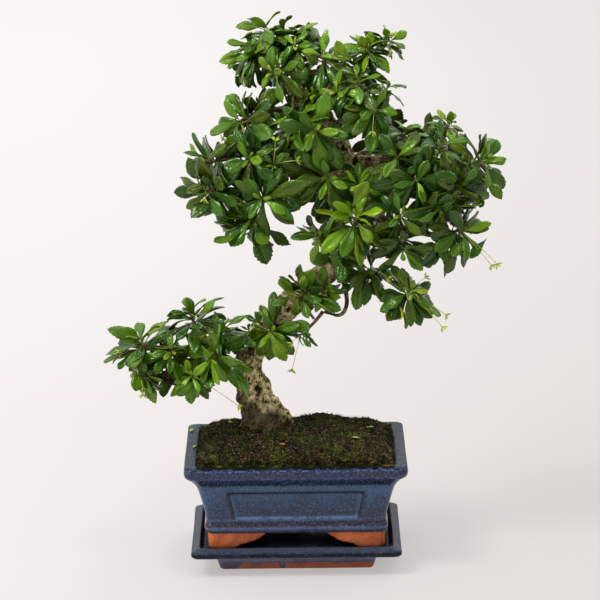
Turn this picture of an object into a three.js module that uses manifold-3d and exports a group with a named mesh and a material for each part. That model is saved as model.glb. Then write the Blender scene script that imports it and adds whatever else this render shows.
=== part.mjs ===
// Fukien tea bonsai in a glazed rectangular pot on its saucer.
// Millimetres, +Z up, X along the pot's long side, front of the plant towards -Y.
// Origin: centre of the saucer's flat underside, on the table.

import * as THREE from 'three';
import { mergeVertices } from 'three/addons/utils/BufferGeometryUtils.js';
import ManifoldModule from 'manifold-3d';

const wasm = await ManifoldModule();
wasm.setup();

// Clearance between neighbouring solids that don't lie face to face.
const GAP = 0.3;

// Saucer: half sizes are along X; every outline is shorter along Y by the same amount.
const SAUCER_RIM_X = 94.5;
const SAUCER_SHORTER_Y = 20;
const SAUCER_CORNER = 7;
const SAUCER_RIM_INNER_Z = 26;
const SAUCER_RIM_OUTER_Z = 22.5;
const SAUCER_RIM_WIDTH = 7;
const SAUCER_LIP_BOTTOM_Z = 17.5;
const SAUCER_FLOOR_Z = 21;
const SAUCER_WELL_SLOPE = 3;
const SAUCER_LEDGE_X = 79;
const SAUCER_STEP = { x: 73, z: 12.5 };
const SAUCER_FOOT_TOP = { x: 72, z: 9 };
const SAUCER_FOOT_X = 69;

// Pot
const POT_SHORTER_Y = 25;
const POT_RIM_X = 100;
const POT_RIM_Z = 101.5;
const POT_BOTTOM_Z = 35.5;
const POT_FLOOR_Z = 43;
const POT_RIM_WIDTH = 11.5;
const POT_WALL = 8;
const POT_CORNER = 8;
const PANEL_TOP = { z: 75, x: 60 };
const PANEL_BOTTOM = { z: 50.5, x: 54.5 };
const PANEL_DEPTH = 1.8;
const FOOT_HEIGHT = POT_BOTTOM_Z - SAUCER_FLOOR_Z;
const FOOT_WALL = 8;
const FOOT_REACH = 53;
const FOOT_SIDE_REACH = 36;
const FOOT_PAD = 20;
const DRAIN_X = 45;
const DRAIN_RADIUS = 9;
const SCREEN_SIZE = 34;
const SCREEN_THICKNESS = 1.2;
const SCREEN_HOLE = 12;
const SCREEN_PITCH = 15;

// Soil
const SOIL_MOUND = 15.2;
const SOIL_EDGE_BELOW_RIM = 1.5;
const SOIL_EDGE_SHARPNESS = { x: 8, y: 6 };
// The root ball stands up round the trunk's foot.
const ROOT_HEAP = { x: -19, y: -2, height: 13, radius: 26 };
const SOIL_CELLS = { x: 14, y: 10 };
const SOIL_LUMPS = 26;

// Leaves. A rosette has an old whorl that spreads and a young whorl that stands up at the stem's tip.
const BLADE_THICKNESS = 0.7;
const BLADE_WIDTH_SHARE = 0.42;
const OLD_WHORL = { leaves: 5, length: 33, polar: 80, droop: 0.45, belowTip: 9 };
const YOUNG_WHORL = { leaves: 3, length: 21, polar: 46, droop: 0, belowTip: 0 };
const YOUNG_WHORL_TURN = 0.7;
const PHASE_SPREAD = 0.6;
const LEAF_ATTEMPTS = 20;
const COLLAR_RADIUS = 2.6;
const STEM_ROOT_RADIUS = 1.8;
const STEM_TIP_RADIUS = 1.1;

// Half-widths along a blade beyond its base, as shares of its length and of its widest half-width. On
// an old leaf the dip after the widest row is the notch between the side tooth and the tip.
const OLD_ROWS = [[0.77, 1], [0.85, 0.66]];
const YOUNG_ROWS = [[0.68, 1]];

// The crown's middle, which the shoots turn away from.
const CROWN_AXIS_X = 40;

// The trunk's centreline from the roots to the tip: x, y, z, radius.
const TRUNK = [
  [-15, 0, 88, 8], [-19, 0, 104, 13], [-25, 0, 121, 19], [-33, -2, 141, 17], [-39, -3, 159, 15],
  [-40, -4, 176, 13], [-38, -4, 191, 12.5], [-29, -4, 208, 11.5], [-14, -6, 226, 11], [4, -8, 243, 11.5],
  [22, -10, 258, 11], [40, -10, 273, 10.5], [56, -8, 285, 10], [64, -3, 299, 9.5], [64, 2, 316, 8.8],
  [59, 6, 337, 8.2], [51, 6, 359, 8], [44, 2, 378, 7.6], [32, 0, 400, 7], [16, 0, 418, 6.4],
  [-1, 4, 430, 6], [-12, 6, 440, 5.2], [-26, 6, 456, 3.6],
];

// The woody branches, each from inside the trunk to its tip: x, y, z, radius.
const BRANCHES = [
  // low left
  [[-40, -4, 182, 6], [-60, -8, 176, 5], [-78, -14, 170, 4.2], [-97, -18, 166, 3.6], [-115, -20, 169, 3],
    [-130, -22, 177, 2.6], [-133, -21, 192, 2]],
  [[-60, -8, 176, 4], [-74, -14, 192, 3.2], [-86, -12, 210, 2]],
  [[-38, -4, 191, 5], [-54, -14, 200, 3.2], [-64, -24, 206, 2]],
  [[-60, -8, 176, 4], [-78, 10, 186, 3.2], [-96, 24, 196, 2]],
  // lower right, and the bare hooked twig beside it
  [[44, -10, 276, 5], [52, -18, 260, 3.6], [65, -22, 252, 3.2], [77, -24, 248, 2.8], [87, -26, 240, 2.6],
    [101, -28, 245, 2]],
  [[42, -12, 266, 4], [46, -22, 254, 2.6], [47, -24, 238, 2.3], [41, -24, 229, 2], [26, -22, 232, 1.5]],
  // cut stub on the trunk's lower bend
  [[22, -10, 258, 9], [16, -24, 263, 7.5], [13, -30, 266, 6]],
  // left pads
  [[54, 6, 352, 7], [32, -12, 350, 4.6], [7, -24, 344, 4], [-14, -32, 340, 3.4], [-34, -34, 336, 2.8],
    [-52, -30, 342, 2.4], [-64, -26, 350, 2]],
  [[40, 2, 386, 6], [18, -14, 388, 4.2], [-8, -24, 386, 3.6], [-30, -28, 381, 3], [-46, -24, 376, 2.4],
    [-58, -20, 371, 2]],
  [[16, 0, 418, 5], [-6, -8, 414, 3.4], [-22, -12, 411, 2.6], [-32, -14, 409, 2]],
  // top
  [[-1, 4, 430, 5.5], [12, 0, 441, 4.6], [30, -6, 445, 4], [48, -10, 446, 3.2], [62, -10, 452, 2.6],
    [80, -8, 465, 2]],
  [[12, 0, 441, 4], [9, -4, 454, 3], [6, -4, 465, 2]],
  [[26, 0, 406, 5.5], [24, -20, 408, 3], [20, -40, 404, 2]],
  [[36, 0, 394, 5.5], [50, -16, 404, 3.6], [62, -30, 411, 2.8], [66, -42, 415, 2]],
  // right pads
  [[50, 6, 362, 7], [70, -10, 366, 5], [92, -28, 368, 4], [112, -36, 366, 3.2], [130, -38, 358, 2.6],
    [142, -42, 350, 2]],
  [[70, -10, 366, 4.5], [96, -10, 376, 3.6], [122, -10, 380, 3], [144, -8, 375, 2.4], [156, -8, 370, 2]],
  [[63, 0, 318, 7], [78, -16, 315, 4.4], [94, -32, 310, 3.6], [116, -38, 306, 3], [136, -34, 302, 2]],
  [[64, -3, 300, 7], [60, -24, 304, 3.6], [52, -42, 308, 2.2]],
  // back
  [[59, 6, 337, 7], [46, 26, 344, 4.2], [24, 42, 350, 3.4], [2, 50, 355, 2.6], [-16, 50, 360, 2]],
  [[51, 6, 359, 6.5], [66, 26, 366, 4], [86, 40, 371, 3], [106, 46, 374, 2]],
  [[16, 0, 418, 5], [34, 18, 426, 3.2], [56, 30, 433, 2]],
  [[-1, 4, 430, 5], [-8, 18, 438, 3], [-12, 32, 444, 2]],
];

// The leafy shoots by pad: x, y, z of the rosette's centre, its size, and how much it turns up or down.
const SHOOTS = {
  low_left: [
    [-136, -24, 207, 1.15, 0.9], [-93, -10, 228, 1.15, 0.8], [-67, -28, 217, 1, 0.5], [-72, -48, 198, 1.2, 0],
    [-91, -36, 178, 0.8, -0.2], [-137, -30, 178, 0.8, -0.2], [-117, 6, 180, 0.95, 0.1],
    [-19, -28, 216, 1, 0.1], [-40, 14, 204, 0.9, 0.6],
  ],
  middle: [
    [6, -32, 249, 1, 0.3], [55, -60, 325, 1.15, 0.5], [31, -46, 358, 1.1, -0.2], [25, -46, 304, 1.05, 0],
    [70, -32, 274, 0.95, 0], [102, -44, 255, 1, 0.2], [29, -34, 252, 0.75, 0.3],
  ],
  left: [
    [-43, -26, 405, 1.1, 0.3], [-75, -34, 372, 1.1, 0.1], [-73, -50, 348, 1.2, -0.3], [-26, -56, 343, 1.25, -0.1],
    [-34, -40, 312, 1.35, -0.5], [-37, -50, 376, 1, 0.4], [-29, 0, 415, 0.8, 0.2],
  ],
  top: [
    [-35, -2, 465, 1.1, 0.5], [-23, 10, 482, 0.95, 0.7], [-15, -30, 450, 0.95, 0.2], [5, -14, 469, 0.9, 0.6],
    [11, 10, 477, 0.75, 0.8], [27, -26, 464, 1, 0.5], [3, -42, 411, 1.05, 0.3], [20, -60, 404, 1.2, 0],
  ],
  upper_right: [
    [86, -6, 475, 0.75, 0.6], [67, -18, 468, 0.75, 0.8], [57, -40, 444, 0.9, 0.3], [72, -50, 419, 1, 0.3],
    [99, -32, 396, 0.85, 0.5],
  ],
  right: [
    [92, -58, 379, 1.15, 0.2], [138, -16, 400, 0.65, 0.9], [169, -26, 366, 1.15, 0.4], [130, -44, 386, 1.05, 0.4],
    [145, -48, 350, 1.15, -0.2], [108, -68, 360, 1.15, 0], [129, -62, 334, 1.2, -0.3], [148, -52, 311, 1.2, -0.2],
    [96, -48, 295, 1.15, -0.2],
  ],
  back: [
    [-22, 62, 366, 1.1, 0.2], [24, 58, 366, 1.1, 0.3], [88, 54, 381, 1.05, 0.2], [118, 50, 366, 1.1, 0],
    [60, 44, 444, 0.95, 0.5], [-12, 42, 463, 0.9, 0.5], [30, 46, 322, 1.1, 0], [14, 52, 410, 1.05, 0.3],
    [98, 42, 340, 1.1, 0],
  ],
};

const BLUE_GLAZE = { color: 0x3d485f, roughness: 0.22, metalness: 0 };
const DARK_SOIL = { color: 0x2c2b1b, roughness: 1, metalness: 0 };
const BARK = { color: 0x79744c, roughness: 0.9, metalness: 0 };
const GREEN_LEAF = { color: 0x2f6a26, roughness: 0.35, metalness: 0 };
const BLACK_PLASTIC = { color: 0x1c1c1c, roughness: 0.6, metalness: 0 };

function vector([x, y, z]) {
  return new THREE.Vector3(x, y, z);
}

// An even stream of numbers from 0 to 1 that a seed fixes.
function drawsFrom(seed) {
  let state = seed >>> 0;
  return () => {
    state = (state + 0x6d2b79f5) >>> 0;
    let mixed = Math.imul(state ^ (state >>> 15), state | 1);
    mixed ^= mixed + Math.imul(mixed ^ (mixed >>> 7), mixed | 61);
    return ((mixed ^ (mixed >>> 14)) >>> 0) / 4294967296;
  };
}

// A closed three.js geometry as a solid that can be cut and joined.
function toSolid(geometry) {
  const plain = geometry.clone();
  plain.deleteAttribute('normal');
  plain.deleteAttribute('uv');
  const merged = mergeVertices(plain, 1e-4);
  return new wasm.Manifold(new wasm.Mesh({
    numProp: 3,
    vertProperties: new Float32Array(merged.attributes.position.array),
    triVerts: new Uint32Array(merged.index.array),
  }));
}

function toGeometry(solid) {
  const mesh = solid.getMesh();
  const geometry = new THREE.BufferGeometry();
  geometry.setAttribute('position', new THREE.BufferAttribute(mesh.vertProperties, 3));
  geometry.setIndex(new THREE.BufferAttribute(mesh.triVerts, 1));
  geometry.computeVertexNormals();
  return geometry;
}

function placedBox(width, depth, height, x, y, bottom) {
  const geometry = new THREE.BoxGeometry(width, depth, height);
  geometry.translate(x, y, bottom + height / 2);
  return toSolid(geometry);
}

// Triangles between rings of equal length, listed upwards and each anticlockwise seen from above.
function loft(rings) {
  const count = rings[0].length;
  const positions = rings.flat().flatMap((point) => point.toArray());
  const index = [];
  for (let ring = 0; ring + 1 < rings.length; ring += 1) {
    for (let i = 0; i < count; i += 1) {
      const a = ring * count + i;
      const b = ring * count + ((i + 1) % count);
      index.push(a, b, b + count, a, b + count, a + count);
    }
  }
  const last = (rings.length - 1) * count;
  for (let i = 1; i + 1 < count; i += 1) {
    index.push(0, i + 1, i, last, last + i, last + i + 1);
  }
  const geometry = new THREE.BufferGeometry();
  geometry.setAttribute('position', new THREE.Float32BufferAttribute(positions, 3));
  geometry.setIndex(index);
  return geometry;
}

// A rectangle with round corners, anticlockwise seen from above.
function roundedRectangle(halfX, halfY, radius, z) {
  const cornerSteps = 2;
  const corners = [[1, 1], [-1, 1], [-1, -1], [1, -1]];
  return corners.flatMap(([sideX, sideY], corner) => {
    const points = [];
    for (let step = 0; step <= cornerSteps; step += 1) {
      const angle = (Math.PI / 2) * (corner + step / cornerSteps);
      const x = sideX * (halfX - radius) + radius * Math.cos(angle);
      const y = sideY * (halfY - radius) + radius * Math.sin(angle);
      points.push(new THREE.Vector3(x, y, z));
    }
    return points;
  });
}

// A vessel's body or hollow from rows of [half size along X, height, corner radius].
function vesselLoft(rows, shorterY) {
  return toSolid(loft(rows.map(([halfX, z, radius]) => roundedRectangle(halfX, halfX - shorterY, radius, z))));
}

function makeSaucer() {
  const rimInner = SAUCER_RIM_X - SAUCER_RIM_WIDTH;
  const body = vesselLoft([
    [SAUCER_FOOT_X, 0, 4],
    [SAUCER_FOOT_TOP.x, SAUCER_FOOT_TOP.z, 5],
    [SAUCER_STEP.x, SAUCER_STEP.z, 5],
    [SAUCER_LEDGE_X, SAUCER_LIP_BOTTOM_Z - 1.5, 5],
    [SAUCER_RIM_X - 1.5, SAUCER_LIP_BOTTOM_Z, SAUCER_CORNER],
    [SAUCER_RIM_X, SAUCER_LIP_BOTTOM_Z + 1.5, SAUCER_CORNER],
    [SAUCER_RIM_X, SAUCER_RIM_OUTER_Z, SAUCER_CORNER],
    [rimInner, SAUCER_RIM_INNER_Z, SAUCER_CORNER],
  ], SAUCER_SHORTER_Y);
  const well = vesselLoft([
    [rimInner - SAUCER_WELL_SLOPE, SAUCER_FLOOR_Z, 4],
    [rimInner - 0.8, SAUCER_RIM_INNER_Z - 1.5, 5],
    [rimInner - 0.3, SAUCER_RIM_INNER_Z + 1, 5],
  ], SAUCER_SHORTER_Y);
  return body.subtract(well);
}

// The pot's outside, from its underside to the outer edge of its rim.
const POT_PROFILE = [
  [79.4, POT_BOTTOM_Z, 6], [81.8, 39.5, 6], [82.4, 43, 6], [81, 46.5, 6], [81.4, 54, 6.5],
  [86.8, 75, 7], [88.4, 80, 7], [90.4, 83.6, 7], [94.2, 88, 7.5], [98.2, 91, POT_CORNER],
  [99.6, 93.5, POT_CORNER], [POT_RIM_X, 97, POT_CORNER], [POT_RIM_X - 0.6, POT_RIM_Z, POT_CORNER],
];

// The outside's half size along X at a height.
function potOutsideAt(z) {
  const above = POT_PROFILE.findIndex((row) => row[1] > z);
  const [lowX, lowZ] = POT_PROFILE[above - 1];
  const [highX, highZ] = POT_PROFILE[above];
  return THREE.MathUtils.mapLinear(z, lowZ, highZ, lowX, highX);
}

// The pot's hollow, smaller by clearance all round, up to the height top.
function potHollow(clearance, top) {
  const mouth = POT_RIM_X - POT_RIM_WIDTH;
  return vesselLoft([
    [potOutsideAt(POT_FLOOR_Z) - POT_WALL - clearance, POT_FLOOR_Z, 5],
    [potOutsideAt(75) - POT_WALL - clearance, 75, 6],
    [mouth - 2 - clearance, POT_RIM_Z - 8, 6],
    [mouth - clearance, POT_RIM_Z - 1, 6],
    [mouth - clearance, top, 6],
  ], POT_SHORTER_Y);
}

// A sunk panel's cutter: an outline that narrows downwards, tilted to lie along the wall.
function panelCutter(halfTop, halfBottom, wallTop, wallBottom, turn) {
  const slope = Math.atan2(wallTop - wallBottom, PANEL_TOP.z - PANEL_BOTTOM.z);
  const height = (PANEL_TOP.z - PANEL_BOTTOM.z) / Math.cos(slope);
  const outline = new THREE.Shape();
  outline.moveTo(-halfBottom, 0);
  outline.lineTo(halfBottom, 0);
  outline.lineTo(halfTop, height);
  outline.lineTo(-halfTop, height);
  const cutter = new THREE.ExtrudeGeometry(outline, { depth: 12, bevelEnabled: false });
  cutter.translate(0, 0, -PANEL_DEPTH);
  const up = new THREE.Vector3(0, Math.sin(slope), Math.cos(slope));
  const out = new THREE.Vector3(0, Math.cos(slope), -Math.sin(slope));
  cutter.applyMatrix4(new THREE.Matrix4()
    .makeBasis(new THREE.Vector3(-1, 0, 0), up, out)
    .setPosition(0, wallBottom, PANEL_BOTTOM.z));
  cutter.rotateZ(turn);
  return toSolid(cutter);
}

function panelCutters() {
  const shorter = POT_SHORTER_Y;
  const wallTop = potOutsideAt(PANEL_TOP.z);
  const wallBottom = potOutsideAt(PANEL_BOTTOM.z);
  const long = [PANEL_TOP.x, PANEL_BOTTOM.x, wallTop - shorter, wallBottom - shorter];
  const short = [PANEL_TOP.x - shorter, PANEL_BOTTOM.x - shorter, wallTop, wallBottom];
  return [
    panelCutter(...long, 0), panelCutter(...long, Math.PI),
    panelCutter(...short, Math.PI / 2), panelCutter(...short, -Math.PI / 2),
  ];
}

// One wing of a bracket foot: a scalloped outline from the corner inwards, along the X axis.
function footWing(reach) {
  const outline = new THREE.Shape();
  outline.moveTo(0, 0);
  outline.lineTo(FOOT_PAD, 0);
  outline.quadraticCurveTo(FOOT_PAD + 6, 0.6, FOOT_PAD + 8, 3.4);
  outline.quadraticCurveTo(reach - 9, 5.5, reach, FOOT_HEIGHT + 1);
  outline.lineTo(0, FOOT_HEIGHT + 1);
  const wing = new THREE.ExtrudeGeometry(outline, { depth: FOOT_WALL, bevelEnabled: false, curveSegments: 4 });
  wing.rotateX(Math.PI / 2);
  return wing;
}

// Four bracket feet, flush with the pot's lower edge and round at their corners.
function makeFeet() {
  const cornerX = POT_PROFILE[0][0];
  const cornerY = cornerX - POT_SHORTER_Y;
  const feet = [[1, 1], [-1, 1], [-1, -1], [1, -1]].map(([sideX, sideY]) => {
    const alongX = toSolid(footWing(FOOT_REACH)).scale([-1, 1, 1]);
    const alongY = toSolid(footWing(FOOT_SIDE_REACH)).rotate([0, 0, -90]);
    return alongX.add(alongY).translate([cornerX, cornerY, SAUCER_FLOOR_Z]).scale([sideX, sideY, 1]);
  });
  const envelope = vesselLoft([
    [cornerX - 1.2, SAUCER_FLOOR_Z, 5], [cornerX, SAUCER_FLOOR_Z + 2.5, 6], [cornerX, POT_BOTTOM_Z + 2, 6],
  ], POT_SHORTER_Y);
  return wasm.Manifold.union(feet).intersect(envelope);
}

function makePot() {
  let pot = vesselLoft(POT_PROFILE, POT_SHORTER_Y).add(makeFeet());
  pot = pot.subtract(potHollow(0, POT_RIM_Z + 5));
  for (const cutter of panelCutters()) pot = pot.subtract(cutter);
  for (const x of [-DRAIN_X, DRAIN_X]) {
    const drain = new THREE.CylinderGeometry(DRAIN_RADIUS, DRAIN_RADIUS, 30, 16);
    drain.rotateX(Math.PI / 2);
    drain.translate(x, 0, POT_FLOOR_Z);
    pot = pot.subtract(toSolid(drain));
  }
  return pot;
}

// A square of plastic mesh that lies over a drainage hole.
function makeScreen(x) {
  let screen = placedBox(SCREEN_SIZE, SCREEN_SIZE, SCREEN_THICKNESS, x, 0, POT_FLOOR_Z);
  for (const column of [-0.5, 0.5]) {
    for (const row of [-0.5, 0.5]) {
      screen = screen.subtract(placedBox(SCREEN_HOLE, SCREEN_HOLE, 4, x + column * SCREEN_PITCH,
        row * SCREEN_PITCH, POT_FLOOR_Z - 1));
    }
  }
  return screen;
}

// Height of the soil: low at the walls, mounded inside, with small lumps of moss and crumbs.
function soilHeights() {
  const draw = drawsFrom(7);
  const lumps = Array.from({ length: SOIL_LUMPS }, () => ({
    x: (draw() * 2 - 1) * 78,
    y: (draw() * 2 - 1) * 54,
    height: 0.5 + 1.2 * draw(),
    radius: 7 + 8 * draw(),
  }));
  lumps.push(ROOT_HEAP);
  return (x, y) => {
    const edge = (1 - (x / 90) ** SOIL_EDGE_SHARPNESS.x) * (1 - (y / 65) ** SOIL_EDGE_SHARPNESS.y);
    const bumps = lumps.reduce((sum, lump) => {
      const distance = ((x - lump.x) ** 2 + (y - lump.y) ** 2) / lump.radius ** 2;
      return sum + lump.height * Math.exp(-distance);
    }, 0);
    return POT_RIM_Z - SOIL_EDGE_BELOW_RIM + Math.max(edge, 0) * (SOIL_MOUND + bumps);
  };
}

function makeSoil(trunkHole) {
  const heightAt = soilHeights();
  const block = new THREE.BoxGeometry(200, 160, 1, SOIL_CELLS.x, SOIL_CELLS.y, 1);
  const position = block.attributes.position;
  for (let i = 0; i < position.count; i += 1) {
    const top = position.getZ(i) > 0;
    position.setZ(i, top ? heightAt(position.getX(i), position.getY(i)) : POT_FLOOR_Z);
  }
  let soil = toSolid(block).intersect(potHollow(GAP, POT_RIM_Z + 40));
  for (const x of [-DRAIN_X, DRAIN_X]) {
    const pocket = SCREEN_SIZE + 2 * GAP;
    soil = soil.subtract(placedBox(pocket, pocket, SCREEN_THICKNESS + GAP + 1, x, 0, POT_FLOOR_Z - 1));
  }
  return soil.subtract(trunkHole);
}

// Tangents at each point of a polyline, and normals carried along it without twist.
function framesAlong(points) {
  const frames = [];
  let normal = new THREE.Vector3(0, 1, 0);
  points.forEach((point, i) => {
    const before = points[Math.max(i - 1, 0)];
    const after = points[Math.min(i + 1, points.length - 1)];
    const tangent = after.clone().sub(before).normalize();
    normal = normal.clone().addScaledVector(tangent, -normal.dot(tangent)).normalize();
    frames.push({ tangent, normal, side: tangent.clone().cross(normal) });
  });
  return frames;
}

// A closed tube through the points, with a radius for each ring and angle.
function tube(points, radiusAt, sides) {
  const frames = framesAlong(points);
  const geometry = new THREE.CylinderGeometry(1, 1, 1, sides, points.length - 1);
  const position = geometry.attributes.position;
  for (let i = 0; i < position.count; i += 1) {
    const ring = Math.round((position.getY(i) + 0.5) * (points.length - 1));
    const angle = Math.atan2(position.getX(i), position.getZ(i));
    const reach = Math.hypot(position.getX(i), position.getZ(i)) * radiusAt(ring, angle);
    const spot = points[ring].clone()
      .addScaledVector(frames[ring].normal, Math.cos(angle) * reach)
      .addScaledVector(frames[ring].side, Math.sin(angle) * reach);
    position.setXYZ(i, spot.x, spot.y, spot.z);
  }
  return geometry;
}

// The trunk with its root flare and branches, thicker all round by extra.
function makeWood(extra) {
  const rootRings = 3;
  const trunk = tube(TRUNK.map(vector), (ring, angle) => {
    const ridges = ring < rootRings ? 0.3 * Math.max(0, Math.cos(4 * angle + 0.6)) : 0;
    const gnarl = 0.07 * Math.sin(3 * angle + 1.7 * ring) + 0.05 * Math.sin(5 * angle - 2.3 * ring);
    return TRUNK[ring][3] * (1 + ridges + gnarl) + extra;
  }, 9);
  const branches = BRANCHES.map((branch) => tube(
    branch.map(vector),
    (ring) => branch[ring][3] + extra,
    5,
  ));
  return wasm.Manifold.union([trunk, ...branches].map(toSolid));
}

// The point nearest to a place on any woody centreline.
function nearestOnWood(place) {
  let best = null;
  for (const line of [TRUNK.slice(3), ...BRANCHES]) {
    const points = line.map(vector);
    for (let i = 0; i + 1 < points.length; i += 1) {
      const spot = new THREE.Line3(points[i], points[i + 1])
        .closestPointToPoint(place, true, new THREE.Vector3());
      if (!best || spot.distanceTo(place) < best.distanceTo(place)) best = spot;
    }
  }
  return best;
}

// A shoot's stem, which bends from the wood to the rosette's centre, and the rosette's own directions.
function makeShootFrame([x, y, z, size, lift]) {
  const centre = new THREE.Vector3(x, y, z);
  const root = nearestOnWood(centre);
  const reach = centre.distanceTo(root);
  const outward = new THREE.Vector3(x - CROWN_AXIS_X, y, -0.02).normalize();
  const axis = centre.clone().sub(root).normalize().multiplyScalar(0.7)
    .addScaledVector(outward, 0.35)
    .add(new THREE.Vector3(0, 0, lift))
    .normalize();
  const bend = centre.clone().addScaledVector(axis, -0.45 * reach);
  const stem = new THREE.QuadraticBezierCurve3(root, bend, centre);
  const across = outward.clone().addScaledVector(axis, -outward.dot(axis)).normalize();
  return { axis, across, upright: axis.clone().cross(across), stem, reach, size, lift };
}

function makeStem(frame, extra) {
  const steps = 2;
  const points = frame.stem.getPoints(steps);
  const radiusAt = (ring) => THREE.MathUtils.lerp(STEM_ROOT_RADIUS, STEM_TIP_RADIUS, ring / steps) + extra;
  return toSolid(tube(points, radiusAt, 4));
}

// The piece of a cut stem that holds its tip.
function outerPiece(stem, tip) {
  const distanceTo = (piece) => {
    const { min, max } = piece.boundingBox();
    return new THREE.Box3(vector(min), vector(max)).distanceToPoint(tip);
  };
  return stem.decompose().reduce((best, piece) => (distanceTo(piece) < distanceTo(best) ? piece : best));
}

// A direction from the rosette's centre, at an angle from its axis and an azimuth round it.
function rosetteDirection(frame, polar, azimuth) {
  return frame.axis.clone().multiplyScalar(Math.cos(polar))
    .addScaledVector(frame.across, Math.sin(polar) * Math.cos(azimuth))
    .addScaledVector(frame.upright, Math.sin(polar) * Math.sin(azimuth));
}

// How far along a shoot's stem a whorl grows.
function whorlPlace(frame, whorl) {
  return 1 - Math.min(0.6, (whorl.belowTip * frame.size) / frame.reach);
}

// How one leaf lies: its azimuth, directions, length and bend all vary a little with the draws.
function leafPose(frame, whorl, leaf, phase, draw) {
  const azimuth = phase + (2 * Math.PI * (leaf + (draw() - 0.5) * 0.4)) / whorl.leaves;
  const polar = THREE.MathUtils.degToRad(whorl.polar + (draw() - 0.5) * 30);
  const length = frame.size * whorl.length * (0.84 + 0.32 * draw());
  const roll = (draw() - 0.5) * 0.7;
  const bend = 0.35 + 0.55 * draw();
  const direction = rosetteDirection(frame, polar, azimuth);
  direction.z -= whorl.droop * (1 - frame.lift);
  direction.normalize();
  const face = frame.axis.clone().addScaledVector(direction, -frame.axis.dot(direction)).normalize();
  face.applyAxisAngle(direction, roll);
  return { azimuth, direction, face, side: direction.clone().cross(face), length, bend };
}

// A point of a blade: along its length, across it, and above its middle surface. The blade follows an
// arc away from its upper face.
function bladePoint(centre, pose, along, across, lift) {
  const turn = pose.bend * along;
  const radius = pose.length / pose.bend;
  return centre.clone()
    .addScaledVector(pose.direction, (radius + lift) * Math.sin(turn))
    .addScaledVector(pose.face, (radius + lift) * Math.cos(turn) - radius)
    .addScaledVector(pose.side, across);
}

// Leaves round a stem as one thin body: their blades join in a small collar.
function makeWhorl(frame, place, poses, rows, clearance) {
  const centre = frame.stem.getPoint(place);
  const along = frame.stem.getTangent(place);
  const half = BLADE_THICKNESS / 2 + clearance;
  const cornerCount = Math.max(poses.length, 2);
  const perLeaf = 2 * rows.length + 1;
  const cornerAzimuth = (corner) => {
    if (poses.length === 1) return poses[0].azimuth + Math.PI * (corner - 0.5);
    const before = poses[(corner + poses.length - 1) % poses.length].azimuth;
    const turn = corner === 0 ? 2 * Math.PI : 0;
    return (before - turn + poses[corner].azimuth) / 2;
  };
  const layer = (lift) => {
    const points = [];
    for (let corner = 0; corner < cornerCount; corner += 1) {
      const spoke = rosetteDirection(frame, Math.PI / 2, cornerAzimuth(corner));
      spoke.addScaledVector(along, -spoke.dot(along)).normalize();
      points.push(centre.clone().addScaledVector(spoke, COLLAR_RADIUS).addScaledVector(along, lift));
    }
    for (const pose of poses) {
      const halfWidth = (pose.length * BLADE_WIDTH_SHARE) / 2;
      const edge = (sign) => rows.map(([part, share]) => bladePoint(
        centre, pose, part, sign * (share * halfWidth + clearance), lift,
      ));
      const tip = bladePoint(centre, pose, 1 + clearance / pose.length, 0, lift);
      points.push(...edge(1), tip, ...edge(-1).reverse());
    }
    return points;
  };
  const outline = [];
  const top = [];
  poses.forEach((pose, k) => {
    const before = k;
    const after = (k + 1) % cornerCount;
    const first = cornerCount + k * perLeaf;
    const last = first + perLeaf - 1;
    top.push([before, first, last], [before, last, after]);
    for (let row = 0; row + 1 < rows.length; row += 1) {
      top.push([first + row, first + row + 1, last - row - 1], [first + row, last - row - 1, last - row]);
    }
    const tip = first + rows.length;
    top.push([tip - 1, tip, tip + 1]);
    outline.push(before, ...Array.from({ length: perLeaf }, (_, i) => first + i));
  });
  if (poses.length === 1) outline.push(1);
  for (let corner = 1; corner + 1 < poses.length; corner += 1) top.push([0, corner, corner + 1]);
  const points = [...layer(half), ...layer(-half)];
  const below = points.length / 2;
  const index = top.flatMap(([a, b, c]) => [a, b, c, a + below, c + below, b + below]);
  outline.forEach((a, i) => {
    const b = outline[(i + 1) % outline.length];
    index.push(a + below, b + below, b, a + below, b, a);
  });
  const geometry = new THREE.BufferGeometry();
  geometry.setAttribute('position', new THREE.Float32BufferAttribute(points.flatMap((p) => p.toArray()), 3));
  geometry.setIndex(index);
  return toSolid(geometry);
}

// Solids with their bounding boxes, so that only close ones are compared.
class Neighbours {
  constructor() {
    this.entries = [];
  }

  add(owner, solid) {
    this.entries.push({ owner, solid, box: solid.boundingBox() });
  }

  touches(owner, solid) {
    const box = solid.boundingBox();
    return this.entries.some((entry) => entry.owner !== owner
      && [0, 1, 2].every((i) => box.min[i] <= entry.box.max[i] && box.max[i] >= entry.box.min[i])
      && !solid.intersect(entry.solid).isEmpty());
  }
}

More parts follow.
